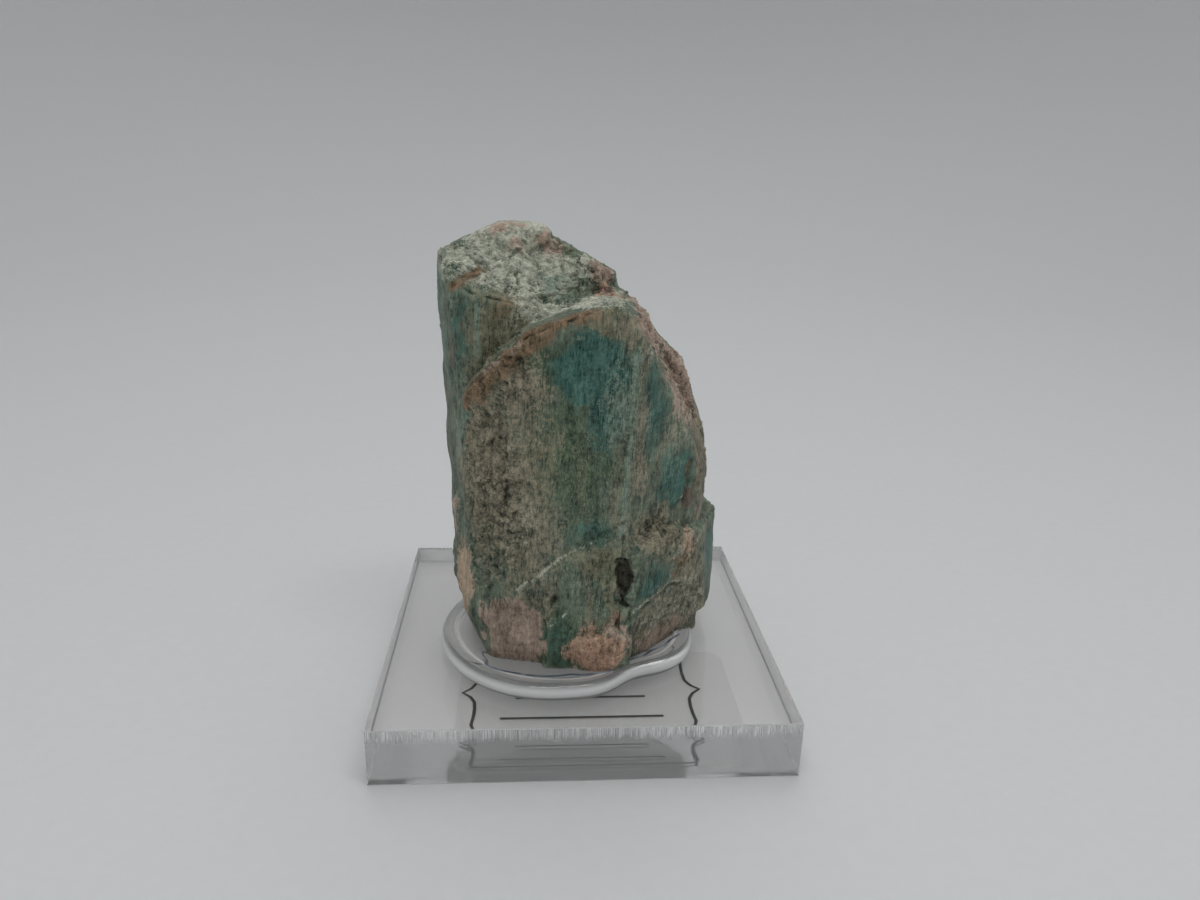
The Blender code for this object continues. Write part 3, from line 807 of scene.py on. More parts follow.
DENTS = (
    Dent((0.8, -1.5, 49.4), (0.9, 1.2, 0.9), 0.75),
    Dent((0.9, -2.3, 47.6), (1.3, 1.2, 0.8), 0.6),
    Dent((-3.2, -13.4, 16.0), (0.6, 1.5, 0.9), 0.7),
    Dent((-10.0, -10.6, 23.2), (0.6, 1.0, 0.7), 0.5),
    Dent((-13.4, -6.0, 21.2), (0.9, 1.2, 1.2), 0.4),
    Dent((-9.2, -11.2, 31.0), (1.3, 1.3, 1.0), -0.30),
    Dent((-11.9, -9.0, 16.9), (1.0, 1.3, 1.2), -0.30),
    Dent((4.9, -12.6, 15.9), (0.9, 1.6, 1.2), -0.9),
    Dent((3.3, -12.8, 19.9), (0.6, 1.6, 0.9), -0.6),
    Dent((4.1, -13.9, 12.6), (0.45, 1.5, 3.0), -0.55),
    Dent((2.2, -14.2, 11.6), (0.4, 1.5, 2.0), -0.35),
    Dent((3.9, -13.4, 22.6), (0.35, 1.5, 2.0), 0.5),
)


@dataclass(frozen=True)
class Pigment:
    """The darkest and the lightest colour of one tone, as linear red, green and blue.

    A ragged edge is broken up by the stone's grain.
    """

    low: Point
    high: Point
    ragged: float = 1.0


@dataclass(frozen=True)
class StoneFinish:
    """Colours of the feldspar and its crusts, laid over each other in this order."""

    base: Pigment = Pigment((0.036, 0.064, 0.046), (0.330, 0.400, 0.290))
    mud: Pigment = Pigment((0.050, 0.052, 0.034), (0.400, 0.370, 0.260))
    pigments: tuple[tuple[Tone, Pigment], ...] = (
        (Tone.GREEN, Pigment((0.014, 0.040, 0.023), (0.185, 0.260, 0.165), 0.8)),
        (Tone.DEEP, Pigment((0.005, 0.046, 0.040), (0.120, 0.290, 0.235), 0.5)),
        (Tone.OLIVE, Pigment((0.048, 0.056, 0.032), (0.400, 0.380, 0.250), 0.8)),
        (Tone.CRUST, Pigment((0.050, 0.054, 0.038), (0.520, 0.465, 0.335), 0.8)),
        (Tone.PALE, Pigment((0.200, 0.225, 0.175), (0.850, 0.860, 0.710), 0.6)),
        (Tone.MILKY_AND_SHEEN, Pigment((0.080, 0.145, 0.112), (0.350, 0.450, 0.360), 0.5)),
        (Tone.BROWN, Pigment((0.052, 0.034, 0.018), (0.400, 0.275, 0.165), 0.9)),
        (Tone.PINK, Pigment((0.195, 0.140, 0.108), (0.760, 0.585, 0.470), 0.6)),
        (Tone.AMBER, Pigment((0.290, 0.200, 0.130), (0.860, 0.660, 0.470), 0.6)),
        (Tone.RUST, Pigment((0.180, 0.092, 0.060), (0.900, 0.600, 0.430), 0.9)),
        (Tone.DARK, Pigment((0.060, 0.042, 0.034), (0.260, 0.205, 0.170), 1.0)),
    )
    thread: Point = (0.430, 0.430, 0.300)
    shadow: Point = (0.045, 0.040, 0.032)
    ior: float = 1.53
    gloss: float = 0.28
    bump_mm: float = 0.085
    lean: float = -2.6
    contrast: float = 1.9
    ragged_contrast: float = 2.0
    line_width: float = 0.060
    grain_line_width: float = 0.065
    smooth_upto: float = 0.15
    coarse_from: float = 0.80

    def material(self) -> Material:
        """Build the stone's material.

        Returns:
            A material that reads the painted tones and Object coordinates.
        """
        shade = Shade("amazonite_stone")
        place = shade.millimetres()
        leaning = shade.millimetres(turn=(0.0, math.radians(self.lean), 0.0))
        tones = {tone: shade.attribute(tone.value) for tone in Tone}

        blotch = shade.spread(shade.noise(place, 0.45, 3.0, 0.6))
        mottle = shade.spread(shade.noise(place, 1.5, 3.0, 0.70))
        grains = shade.noise(place, 4.4, 2.0, 0.75)
        fibres = shade.drawn_out(leaning, (6.5, 6.5, 1.1), 2.0, 0.62)
        strokes = shade.spread(shade.drawn_out(leaning, (2.4, 2.4, 0.34), 3.0, 0.66))
        grit = shade.spread(grains)
        hairs = shade.spread(fibres)
        bent = shade.bent(place, 0.30)
        flakes = shade.total((shade.flakes(bent, 2.2), 0.22), (shade.flakes(bent, 5.0), 0.24),
                             (mottle, 0.30), (grit, 0.24))
        silk = shade.total((strokes, 0.34), (hairs, 0.26), (mottle, 0.22), (grit, 0.18))
        coarse = shade.ramp(tones[Tone.GRAIN], self.smooth_upto, self.coarse_from)
        value = shade.spread(shade.mix(coarse, silk, flakes), self.contrast)
        strands = shade.mix(coarse, shade.lines(fibres, self.line_width),
                            shade.lines(grains, self.grain_line_width))
        shown = shade.total((tones[Tone.STREAK], 0.45), (coarse, 0.10), offset=0.25)
        thread = shade.times(shade.times(strands, shade.ramp(mottle, 0.15, 0.75)), shown)
        # Painted light and shade in the value: lighter on convex bumps (edge wear and painted highlight),
        # darker in hollows (painted shade), lighter where the light falls more (painted light)
        value = shade.total((value, 0.78), (blotch, 0.46), (tones[Tone.WEAR], 0.26),
                            (tones[Tone.HOLLOW_SHADE], -0.20), (tones[Tone.LIGHT], 0.30), (thread, 0.80),
                            offset=-0.25)
        break_up = shade.total((mottle, 0.36), (grit, 0.36), (hairs, 0.28))
        break_up = shade.spread(break_up, self.ragged_contrast)

        band = shade.spread(shade.drawn_out(leaning, (0.50, 0.50, 0.11), 3.0, 0.68))
        muddy = shade.blend(value, self.mud.low, self.mud.high)
        colour = shade.blend(value, self.base.low, self.base.high)
        colour = shade.blend(shade.times(shade.ramp(band, 0.40, 0.95), 0.7), colour, muddy)
        for tone, pigment in self.pigments:
            own = shade.blend(value, pigment.low, pigment.high)
            colour = shade.blend(shade.edge(tones[tone], break_up, pigment.ragged), colour, own)
        stain = shade.total((tones[Tone.DEEP], -0.30), offset=0.34)
        colour = shade.blend(shade.times(shade.ramp(band, 0.50, 0.95), stain), colour, muddy)

        colour = shade.blend(shade.times(thread, 0.42), colour, self.thread)
        # Painted shade: the hollows are darkened towards the shadow colour
        colour = shade.blend(shade.times(tones[Tone.HOLLOW_SHADE], 0.15), colour, self.shadow)

        rough = shade.total((tones[Tone.DEEP], -0.20), (coarse, 0.18), (mottle, 0.22), offset=0.44)
        normal = shade.bump(shade.mix(coarse, hairs, shade.total((grit, 1.6))), self.bump_mm)
        return shade.finish({"Base Color": colour, "Roughness": rough, "IOR": self.ior, "Normal": normal,
                             "Specular IOR Level": self.gloss})


@dataclass(frozen=True)
class GlueFinish:
    """Clear glue, cloudier in its thick rim than in its thin middle. Its cloudy white bands are partly the
    glue's own cloudiness and partly painted highlight.
    """

    colour: Point = (1.0, 1.0, 1.0)
    ior: float = 1.47
    roughness: float = 0.0
    clear_rim: float = 0.22
    clear_dish: float = 0.86
    wave_mm: float = 0.03
    wave_per_mm: float = 0.45

    def material(self) -> Material:
        """Build the glue's material.

        Returns:
            A see-through material with a faint surface wave.
        """
        shade = Shade("clear_glue")
        wave = shade.noise(shade.millimetres(), self.wave_per_mm, 2.0)
        # Partly cloudier glue, partly painted highlight: white bands round the rim
        clear = shade.mix(shade.attribute("rim"), self.clear_dish, self.clear_rim)
        return shade.finish({"Base Color": self.colour, "Roughness": self.roughness, "IOR": self.ior,
                             "Transmission Weight": clear, "Normal": shade.bump(wave, self.wave_mm)})


@dataclass(frozen=True)
class BeadFinish:
    """The glue's bead, where the stone's shade shows in it as a bluish line."""

    colour: Point = (0.10, 0.13, 0.19)
    paler: Point = (0.45, 0.50, 0.56)
    ior: float = 1.47
    clearness: float = 0.35
    roughness: float = 0.05

    def material(self) -> Material:
        """Build the bead's material.

        Returns:
            A glossy, partly see-through material that is darker in places.
        """
        shade = Shade("glue_bead")
        uneven = shade.ramp(shade.noise(shade.millimetres(), 0.5, 3.0), 0.42, 0.66)
        colour = shade.blend(uneven, self.colour, self.paler)
        return shade.finish({"Base Color": colour, "Roughness": self.roughness, "IOR": self.ior,
                             "Transmission Weight": self.clearness})


@dataclass(frozen=True)
class AcrylicFinish:
    """Clear acrylic: polished above and below, sawn at its sides, scratched along their upper edge, where a
    painted reflection makes the band cloudier.
    """

    colour: Point = (1.0, 1.0, 1.0)
    ior: float = 1.49
    clearness: float = 0.95
    saw_mm: float = 0.010
    saw_per_mm: Point = (7.0, 7.0, 0.10)
    scratch_per_mm: Point = (1.6, 1.6, 0.02)
    scratch_from: float = 5.3
    scratch_to: float = 6.3
    reflection_cloud: float = 0.45
    scratch_rough: float = 0.35
    saw_rough: float = 0.07
    side_cloud: float = 0.13
    edge_cloud: float = 0.50

    def material(self) -> Material:
        """Build the acrylic's material.

        Returns:
            A see-through material whose sides, painted as sawn, have fine upright marks.
        """
        shade = Shade("clear_acrylic")
        place = shade.millimetres()
        sawn = shade.attribute("sawn")
        marks = shade.drawn_out(place, self.saw_per_mm, 3.0, 0.6)
        reach = shade.drawn_out(place, self.scratch_per_mm, 4.0, 0.7)
        height = shade.put("ShaderNodeSeparateXYZ", {"Vector": place}).outputs["Z"]
        band = shade.ramp(shade.total((height, 1.0), (reach, 1.4)), self.scratch_from, self.scratch_to)
        hatch = shade.times(shade.times(band, sawn), shade.ramp(marks, 0.38, 0.64))
        rough = shade.total((hatch, self.scratch_rough), (shade.times(sawn, marks), self.saw_rough))
        # Painted reflection: the scratched band along the sides' upper edge is made cloudier
        clear = shade.total((hatch, -self.reflection_cloud), (sawn, -self.side_cloud),
                            (shade.attribute("edge"), -self.edge_cloud), offset=self.clearness)
        normal = shade.bump(shade.times(sawn, marks), self.saw_mm)
        return shade.finish({"Base Color": self.colour, "Roughness": rough, "IOR": self.ior,
                             "Transmission Weight": clear, "Normal": normal})


@dataclass(frozen=True)
class FilmFinish:
    """The label's thin milky film."""

    colour: Point = (0.86, 0.86, 0.83)
    fibre_shade: float = 0.93
    alpha: float = 0.05
    roughness: float = 0.5

    def material(self) -> Material:
        """Build the film's material.

        Returns:
            A partly see-through material with faint fibres.
        """
        shade = Shade("label_film")
        fibres = shade.ramp(shade.noise(shade.millimetres(), 1.3, 4.0), 0.3, 0.7)
        colour = shade.blend(fibres, scaled(self.colour, self.fibre_shade), self.colour)
        return shade.finish({"Base Color": colour, "Roughness": self.roughness, "Alpha": self.alpha})


@dataclass(frozen=True)
class InkFinish:
    """The black print on the label."""

    colour: Point = (0.012, 0.012, 0.014)
    thin_shade: float = 3.0
    roughness: float = 0.6

    def material(self) -> Material:
        """Build the ink's material.

        Returns:
            A nearly black material, a little uneven.
        """
        shade = Shade("label_ink")
        uneven = shade.ramp(shade.noise(shade.millimetres(), 3.0, 3.0), 0.3, 0.8)
        colour = shade.blend(uneven, self.colour, scaled(self.colour, self.thin_shade))
        return shade.finish({"Base Color": colour, "Roughness": self.roughness})


class Shade:
    """Adds and joins the shader nodes of one material."""

    def __init__(self, name: str) -> None:
        """Start a material whose only nodes are its shader and its output.

        Args:
            name: The material's name.
        """
        self.made = bpy.data.materials.new(name)
        self.made.use_nodes = True
        self.tree = self.made.node_tree
        self.shader = self.tree.nodes["Principled BSDF"]
        self.origin = self.put("ShaderNodeTexCoord").outputs["Object"]

    def put(self, kind: str, values: dict | None = None, **settings: object) -> bpy.types.Node:
        """Add a node and fill its inputs.

        Args:
            kind: The node's type.
            values: Input names or numbers, each with a socket or a constant.
            settings: Properties of the node.

        Returns:
            The new node.
        """
        node = self.tree.nodes.new(kind)
        for key, value in settings.items():
            setattr(node, key, value)
        for key, value in (values or {}).items():
            self.fill(node.inputs[key], value)
        return node

    def fill(self, socket: Socket, value: object) -> None:
        """Link a socket to an input, or give the input a constant.

        Args:
            socket: The input.
            value: An output socket, a number, a vector, or a colour without its alpha.
        """
        if isinstance(value, Socket):
            self.tree.links.new(value, socket)
        elif socket.type == "RGBA":
            socket.default_value = (*value, 1.0)
        else:
            socket.default_value = value

    def reckon(self, operation: str, *values: object, clamp: bool = False) -> Socket:
        """Reckon with numbers.

        Args:
            operation: What is done with them.
            values: Sockets or numbers, in the order of the node's inputs.
            clamp: Whether the result keeps to 0 to 1.

        Returns:
            The result.
        """
        node = self.put("ShaderNodeMath", dict(enumerate(values)), operation=operation, use_clamp=clamp)
        return node.outputs["Value"]

    def millimetres(self, turn: Point = (0.0, 0.0, 0.0)) -> Socket:
        """Object coordinates in millimetres, turned about the origin by angles in radians."""
        values = {"Vector": self.origin, "Rotation": turn, "Scale": (1 / MM,) * 3}
        return self.put("ShaderNodeMapping", values).outputs["Vector"]

    def noise(self, vector: Socket, scale: float, detail: float = 2.0,
              roughness: float = 0.5) -> Socket:
        """Layered noise as a number about 0 to 1."""
        values = {"Vector": vector, "Scale": scale, "Detail": detail, "Roughness": roughness}
        return self.put("ShaderNodeTexNoise", values).outputs["Fac"]

    def drawn_out(self, vector: Socket, scale: Point, detail: float,
                  roughness: float) -> Socket:
        """Layered noise with a scale of its own along each axis."""
        stretched = self.put("ShaderNodeMapping", {"Vector": vector, "Scale": scale}).outputs["Vector"]
        return self.noise(stretched, 1.0, detail, roughness)

    def lines(self, noise_value: Socket, width: float) -> Socket:
        """1 where a noise passes its middle of 0.5, and 0 further than a width from it."""
        away = self.reckon("ABSOLUTE", self.total((noise_value, 1.0), offset=-0.5))
        return self.ramp(away, width, 0.0)

    def attribute(self, name: str) -> Socket:
        """A number painted on the mesh."""
        return self.put("ShaderNodeAttribute", attribute_name=name).outputs["Fac"]

    def bent(self, vector: Socket, amount: float) -> Socket:
        """Coordinates pushed about by a fine noise, so that cells lose their straight borders.

        Args:
            vector: The coordinates.
            amount: How far they are pushed at most.

        Returns:
            The pushed coordinates.
        """
        push = self.put("ShaderNodeTexNoise", {"Vector": vector, "Scale": 2.4, "Detail": 1.0})
        values = {0: push.outputs["Color"], 1: (amount,) * 3, 2: vector}
        return self.put("ShaderNodeVectorMath", values, operation="MULTIPLY_ADD").outputs["Vector"]

    def flakes(self, vector: Socket, scale: float) -> Socket:
        """A number from 0 to 1 that is the same all over each small grain."""
        colour = self.put("ShaderNodeTexVoronoi", {"Vector": vector, "Scale": scale}).outputs["Color"]
        return self.put("ShaderNodeSeparateColor", {"Color": colour}).outputs["Red"]

    def spread(self, value: Socket, amount: float = 2.4) -> Socket:
        """A value's distance from its middle of 0.5, made larger."""
        return self.reckon("MULTIPLY_ADD", value, amount, 0.5 - 0.5 * amount, clamp=True)

    def total(self, *parts: tuple[Socket, float], offset: float = 0.0) -> Socket:
        """Add some values up.

        Args:
            parts: The values, each with its share.
            offset: What the sum starts from.

        Returns:
            The sum.
        """
        result = offset
        for value, share in parts:
            result = self.reckon("MULTIPLY_ADD", value, share, result)
        return result

    def mix(self, share: Socket, first: object, second: object) -> Socket:
        """Mix two numbers."""
        return self.put("ShaderNodeMix", {0: share, 2: first, 3: second}, data_type="FLOAT").outputs[0]

    def ramp(self, value: Socket, low: float, high: float) -> Socket:
        """0 below low, 1 above high, and soft between."""
        values = {"Value": value, "From Min": low, "From Max": high}
        return self.put("ShaderNodeMapRange", values, interpolation_type="SMOOTHSTEP").outputs["Result"]

    def times(self, first: Socket, second: object) -> Socket:
        """One number times another."""
        return self.reckon("MULTIPLY", first, second)

    def inside(self, vector: Socket, half: float) -> Socket:
        """1 within a square about the origin, and 0 round it."""
        along = self.put("ShaderNodeSeparateXYZ", {"Vector": vector}).outputs
        return self.times(*(self.reckon("COMPARE", along[axis], 0.0, half) for axis in "XY"))

    def edge(self, weight: Socket, grain: Socket,
             ragged: float) -> Socket:
        """A weight whose soft edge is broken up by a grain.

        Args:
            weight: The painted weight.
            grain: Noise from 0 to 1.
            ragged: How far the grain moves the edge.

        Returns:
            A weight with a crisper, grainy edge.
        """
        moved = self.total((weight, 1.0), (grain, ragged), offset=-0.5 * ragged)
        return self.times(self.ramp(moved, 0.25, 0.75), self.ramp(weight, 0.0, 0.2))

    def blend(self, share: object, first: object, second: object) -> Socket:
        """Mix two colours.

        Args:
            share: How much of the second colour shows.
            first: A colour or a socket.
            second: A colour or a socket.

        Returns:
            The mixed colour.
        """
        values = {0: share, 6: first, 7: second}
        return self.put("ShaderNodeMix", values, data_type="RGBA", clamp_factor=True).outputs[2]

    def bump(self, height: Socket, depth_mm: float) -> Socket:
        """A normal from a height, with its depth in millimetres."""
        values = {"Height": height, "Distance": depth_mm * MM, "Strength": 1.0}
        return self.put("ShaderNodeBump", values).outputs["Normal"]

    def finish(self, values: dict) -> Material:
        """Fill the shader's inputs.

        Args:
            values: Input names, each with a socket or a constant.

        Returns:
            The finished material.
        """
        for key, value in values.items():
            self.fill(self.shader.inputs[key], value)
        return self.made


def dress(obj: Object, material: Material) -> None:
    """Give a piece its only material and its body.

    Args:
        obj: The piece.
        material: The piece's finish.
    """
    obj.data.materials.clear()
    obj.data.materials.append(material)
    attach(obj, "root")


@dataclass
class Amazonite:
    """The crystal group: blocks in one solid, then a broken, ribbed and painted skin."""

    foot: float = 7.45
    root_depth: float = 2.0
    root_step: float = 0.37
    voxel: float = 0.27
    calm_height: float = 1.2
    smooth_grain: float = 0.06
    coarsest: float = 0.5
    chip_soft: float = 0.5
    facing: Pair = (0.80, 0.12)
    grain_height: float = 0.45
    grain_per_mm: Point = (0.5, 0.5, 0.5)
    rib_height: float = 0.09
    rib_per_mm: Point = (0.62, 0.62, 0.035)
    step_height: float = 0.05
    step_per_mm: Point = (0.30, 0.30, 0.05)
    steps_per_turn: float = 3.0
    level_share: float = 1.6
    edge_wear: float = 0.65
    wear_per_mm: Point = (0.55, 0.55, 0.55)
    wear_offset: float = 0.25
    worn_bulge: Pair = (0.04, 0.22)
    bright_bulge: Pair = (0.015, 0.07)
    shaded_hollow: Pair = (0.04, 0.12)
    bend: float = 0.35
    bend_per_mm: float = 0.17
    dent_soft: float = 0.8
    groove_waver: float = 0.30
    groove_reach: float = 1.2
    patch_waver: float = 1.1
    vein_waver: float = 0.22
    vein_reach: float = 1.3
    highest: float = 54.14
    crisp_angle: float = 38.0
    finish: StoneFinish = field(default_factory=StoneFinish)

    def build(self) -> Object:
        """Model and dress the stone.

        Returns:
            The finished piece.
        """
        stone = self.joined()
        self.reskin(stone)
        self.roughen(stone)
        self.paint(stone)
        select_only(stone)
        bpy.ops.object.shade_smooth_by_angle(angle=math.radians(self.crisp_angle))
        dress(stone, self.finish.material())
        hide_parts("amazonite")
        return stone

    def joined(self) -> Object:
        """Join the crystal blocks and take away the broken places.

        Each block starts a little deeper than the one before, so that no two undersides lie
        in one plane; the flat foot then trims them all.

        Returns:
            The sharp-edged solid.
        """
        stone = None
        for index, (name, block) in enumerate(CRYSTAL_BLOCKS.items()):
            depth = self.foot - self.root_depth - self.root_step * index
            piece = Block(block.plan, block.top, block.cuts, depth).build(name)
            if stone is None:
                stone = piece
                stone.name = "amazonite_crystals"
            else:
                combine(stone, piece, "UNION")
        for name, block in BROKEN_PLACES.items():
            combine(stone, block.build(name), "DIFFERENCE")
        return stone

    def reskin(self, stone: Object) -> None:
        """Give the solid an even, fine skin.

        Args:
            stone: The sharp-edged solid, changed in place.
        """
        remesh = stone.modifiers.new("even_skin", "REMESH")
        remesh.mode = "VOXEL"
        remesh.voxel_size = self.voxel * MM
        apply_modifiers(stone)

    def coarseness(self, points: np.ndarray) -> np.ndarray:
        """Height of the broken chips at each place.

        Args:
            points: Places in millimetres.

        Returns:
            Heights in millimetres.
        """
        height = np.full(len(points), self.smooth_grain)
        for centre, reach, rough in CHIPPED_AREAS:
            height = np.maximum(height, rough * within(points, centre, reach, self.chip_soft))
        return height

    def bulge(self, stone: Object, points: np.ndarray, normals: np.ndarray,
              times: int) -> np.ndarray:
        """How far each vertex stands out from its smoothed neighbourhood, in millimetres."""
        return np.einsum("ij,ij->i", points - averaged(stone, points, times), normals)

    def roughen(self, stone: Object) -> None:
        """Bend the faces a little, wear the edges, and raise ribs, chips, grain and dents.

        Args:
            stone: The reskinned solid, changed in place.
        """
        points, normals = read_surface(stone)
        calm = smoothstep(points[:, 2] - self.foot, 0.1, self.calm_height)[:, None]
        bulge = self.bulge(stone, points, normals, 16)
        points += calm * self.bend * wander(points, self.bend_per_mm, Salt.BEND)
        normals = unit(averaged(stone, normals, 4))
        upright = np.clip(1.0 - normals[:, 2] ** 2 * self.level_share, 0.0, 1.0)
        rough = self.coarseness(points)
        rise = np.zeros(len(points))
        for share, size, salt in CHIP_LAYERS:
            rise += rough * share * chips(points, size, salt)
        rise += rough * self.grain_height * fractal(points, self.grain_per_mm, Salt.GRAIN)
        rise += self.rib_height * upright * fractal(points, self.rib_per_mm, Salt.RIB, 3)
        steps = fractal(points, self.step_per_mm, Salt.STEP, 2)
        rise += self.step_height * upright * np.round(steps * self.steps_per_turn)
        worn = np.clip(fractal(points, self.wear_per_mm, Salt.WEAR) + self.wear_offset, 0.0, 1.0)
        rise -= self.edge_wear * worn * smoothstep(bulge, *self.worn_bulge)
        for dent in DENTS:
            rise -= dent.depth * within(points, dent.centre, dent.reach, self.dent_soft)
        near = points + self.groove_waver * wander(points, 0.8, Salt.GROOVE)
        for groove in GROOVES:
            distance = line_distance(near, np.array(groove.points))
            rise -= groove.depth * smoothstep(self.groove_reach - distance / groove.width)
        points += normals * rise[:, None] * calm
        points[:, 2] = np.minimum(points[:, 2], self.highest)
        write_surface(stone, points)

    def paint(self, stone: Object) -> None:
        """Paint each tone's weight on the mesh.

        Args:
            stone: The finished shape.
        """
        points, normals = read_surface(stone)
        broad = unit(averaged(stone, normals, 8))
        warp = wander(points, 0.40, Salt.PAINT) + 0.5 * wander(points, 1.5, Salt.FINE_PAINT)
        moved = points + self.patch_waver * warp
        weights = {tone: np.zeros(len(points)) for tone in Tone}
        for tone, patch in ((tone, patch) for tone, patches in PATCHES.items() for patch in patches):
            weight = patch.strength * within(moved, patch.centre, patch.reach, patch.soft)
            if patch.facing is not None:
                weight *= smoothstep(broad @ np.array(patch.facing), *self.facing)
            weights[tone] = np.maximum(weights[tone], weight)
        near = points + self.vein_waver * warp
        for vein in VEINS:
            distance = line_distance(near, np.array(vein.points))
            weight = vein.strength * smoothstep(self.vein_reach - distance / vein.width)
            weights[vein.tone] = np.maximum(weights[vein.tone], weight)
        bulge = self.bulge(stone, points, normals, 5)
        # Edge wear and painted highlight: lighter where a vertex stands out from its neighbours
        weights[Tone.WEAR] = smoothstep(bulge, *self.bright_bulge)
        # Painted shade: darker where a vertex sinks below its neighbours
        weights[Tone.HOLLOW_SHADE] = smoothstep(-bulge, *self.shaded_hollow)
        weights[Tone.GRAIN] = self.coarseness(points) / self.coarsest
        for tone, weight in weights.items():
            paint_points(stone, tone.value, weight)


def read_surface(obj: Object) -> tuple[np.ndarray, np.ndarray]:
    """Read a mesh's vertices and normals.

    Args:
        obj: The mesh object.

    Returns:
        Places in millimetres and unit normals, one row each.
    """
    count = len(obj.data.vertices)
    points = np.empty(count * 3)
    normals = np.empty(count * 3)
    obj.data.vertices.foreach_get("co", points)
    obj.data.vertices.foreach_get("normal", normals)
    return points.reshape(-1, 3) / MM, normals.reshape(-1, 3)


def write_surface(obj: Object, points: np.ndarray) -> None:
    """Move a mesh's vertices.

    Args:
        obj: The mesh object.
        points: The new places in millimetres.
    """
    obj.data.vertices.foreach_set("co", (points * MM).ravel())
    obj.data.update()


def paint_points(obj: Object, name: str, weights: np.ndarray) -> None:
    """Store one number for each vertex, which a material reads by its name.

    Args:
        obj: The mesh object.
        name: The attribute's name.
        weights: The numbers, in the order of the vertices.
    """
    layer = obj.data.attributes.new(name, "FLOAT", "POINT")
    layer.data.foreach_set("value", weights.astype(np.float32))


def averaged(obj: Object, values: np.ndarray, times: int) -> np.ndarray:
    """Average values over neighbouring vertices.

    Args:
        obj: The mesh object.
        values: One row of numbers for each vertex.
        times: How often to average.

    Returns:
        The smoothed values.
    """
    edges = np.empty(len(obj.data.edges) * 2, dtype=np.int64)
    obj.data.edges.foreach_get("vertices", edges)
    ends = np.concatenate([edges[0::2], edges[1::2]])
    others = np.concatenate([edges[1::2], edges[0::2]])
    count = len(values)
    number = np.bincount(ends, minlength=count)[:, None] + 1.0
    smooth = values.copy()
    for _ in range(times):
        total = np.stack([np.bincount(ends, smooth[others, axis], count) for axis in range(3)], axis=1)
        smooth = (total + smooth) / number
    return smooth


def line_distance(points: np.ndarray, line: np.ndarray) -> np.ndarray:
    """Distance from each point to a line of straight runs.

    Args:
        points: Places, one row each.
        line: The line's points in order.

    Returns:
        One distance for each place.
    """
    nearest = np.full(len(points), np.inf)
    for start, end in zip(line, line[1:]):
        run = end - start
        along = np.clip((points - start) @ run / (run @ run), 0.0, 1.0)
        nearest = np.minimum(nearest, np.linalg.norm(points - start - along[:, None] * run, axis=1))
    return nearest


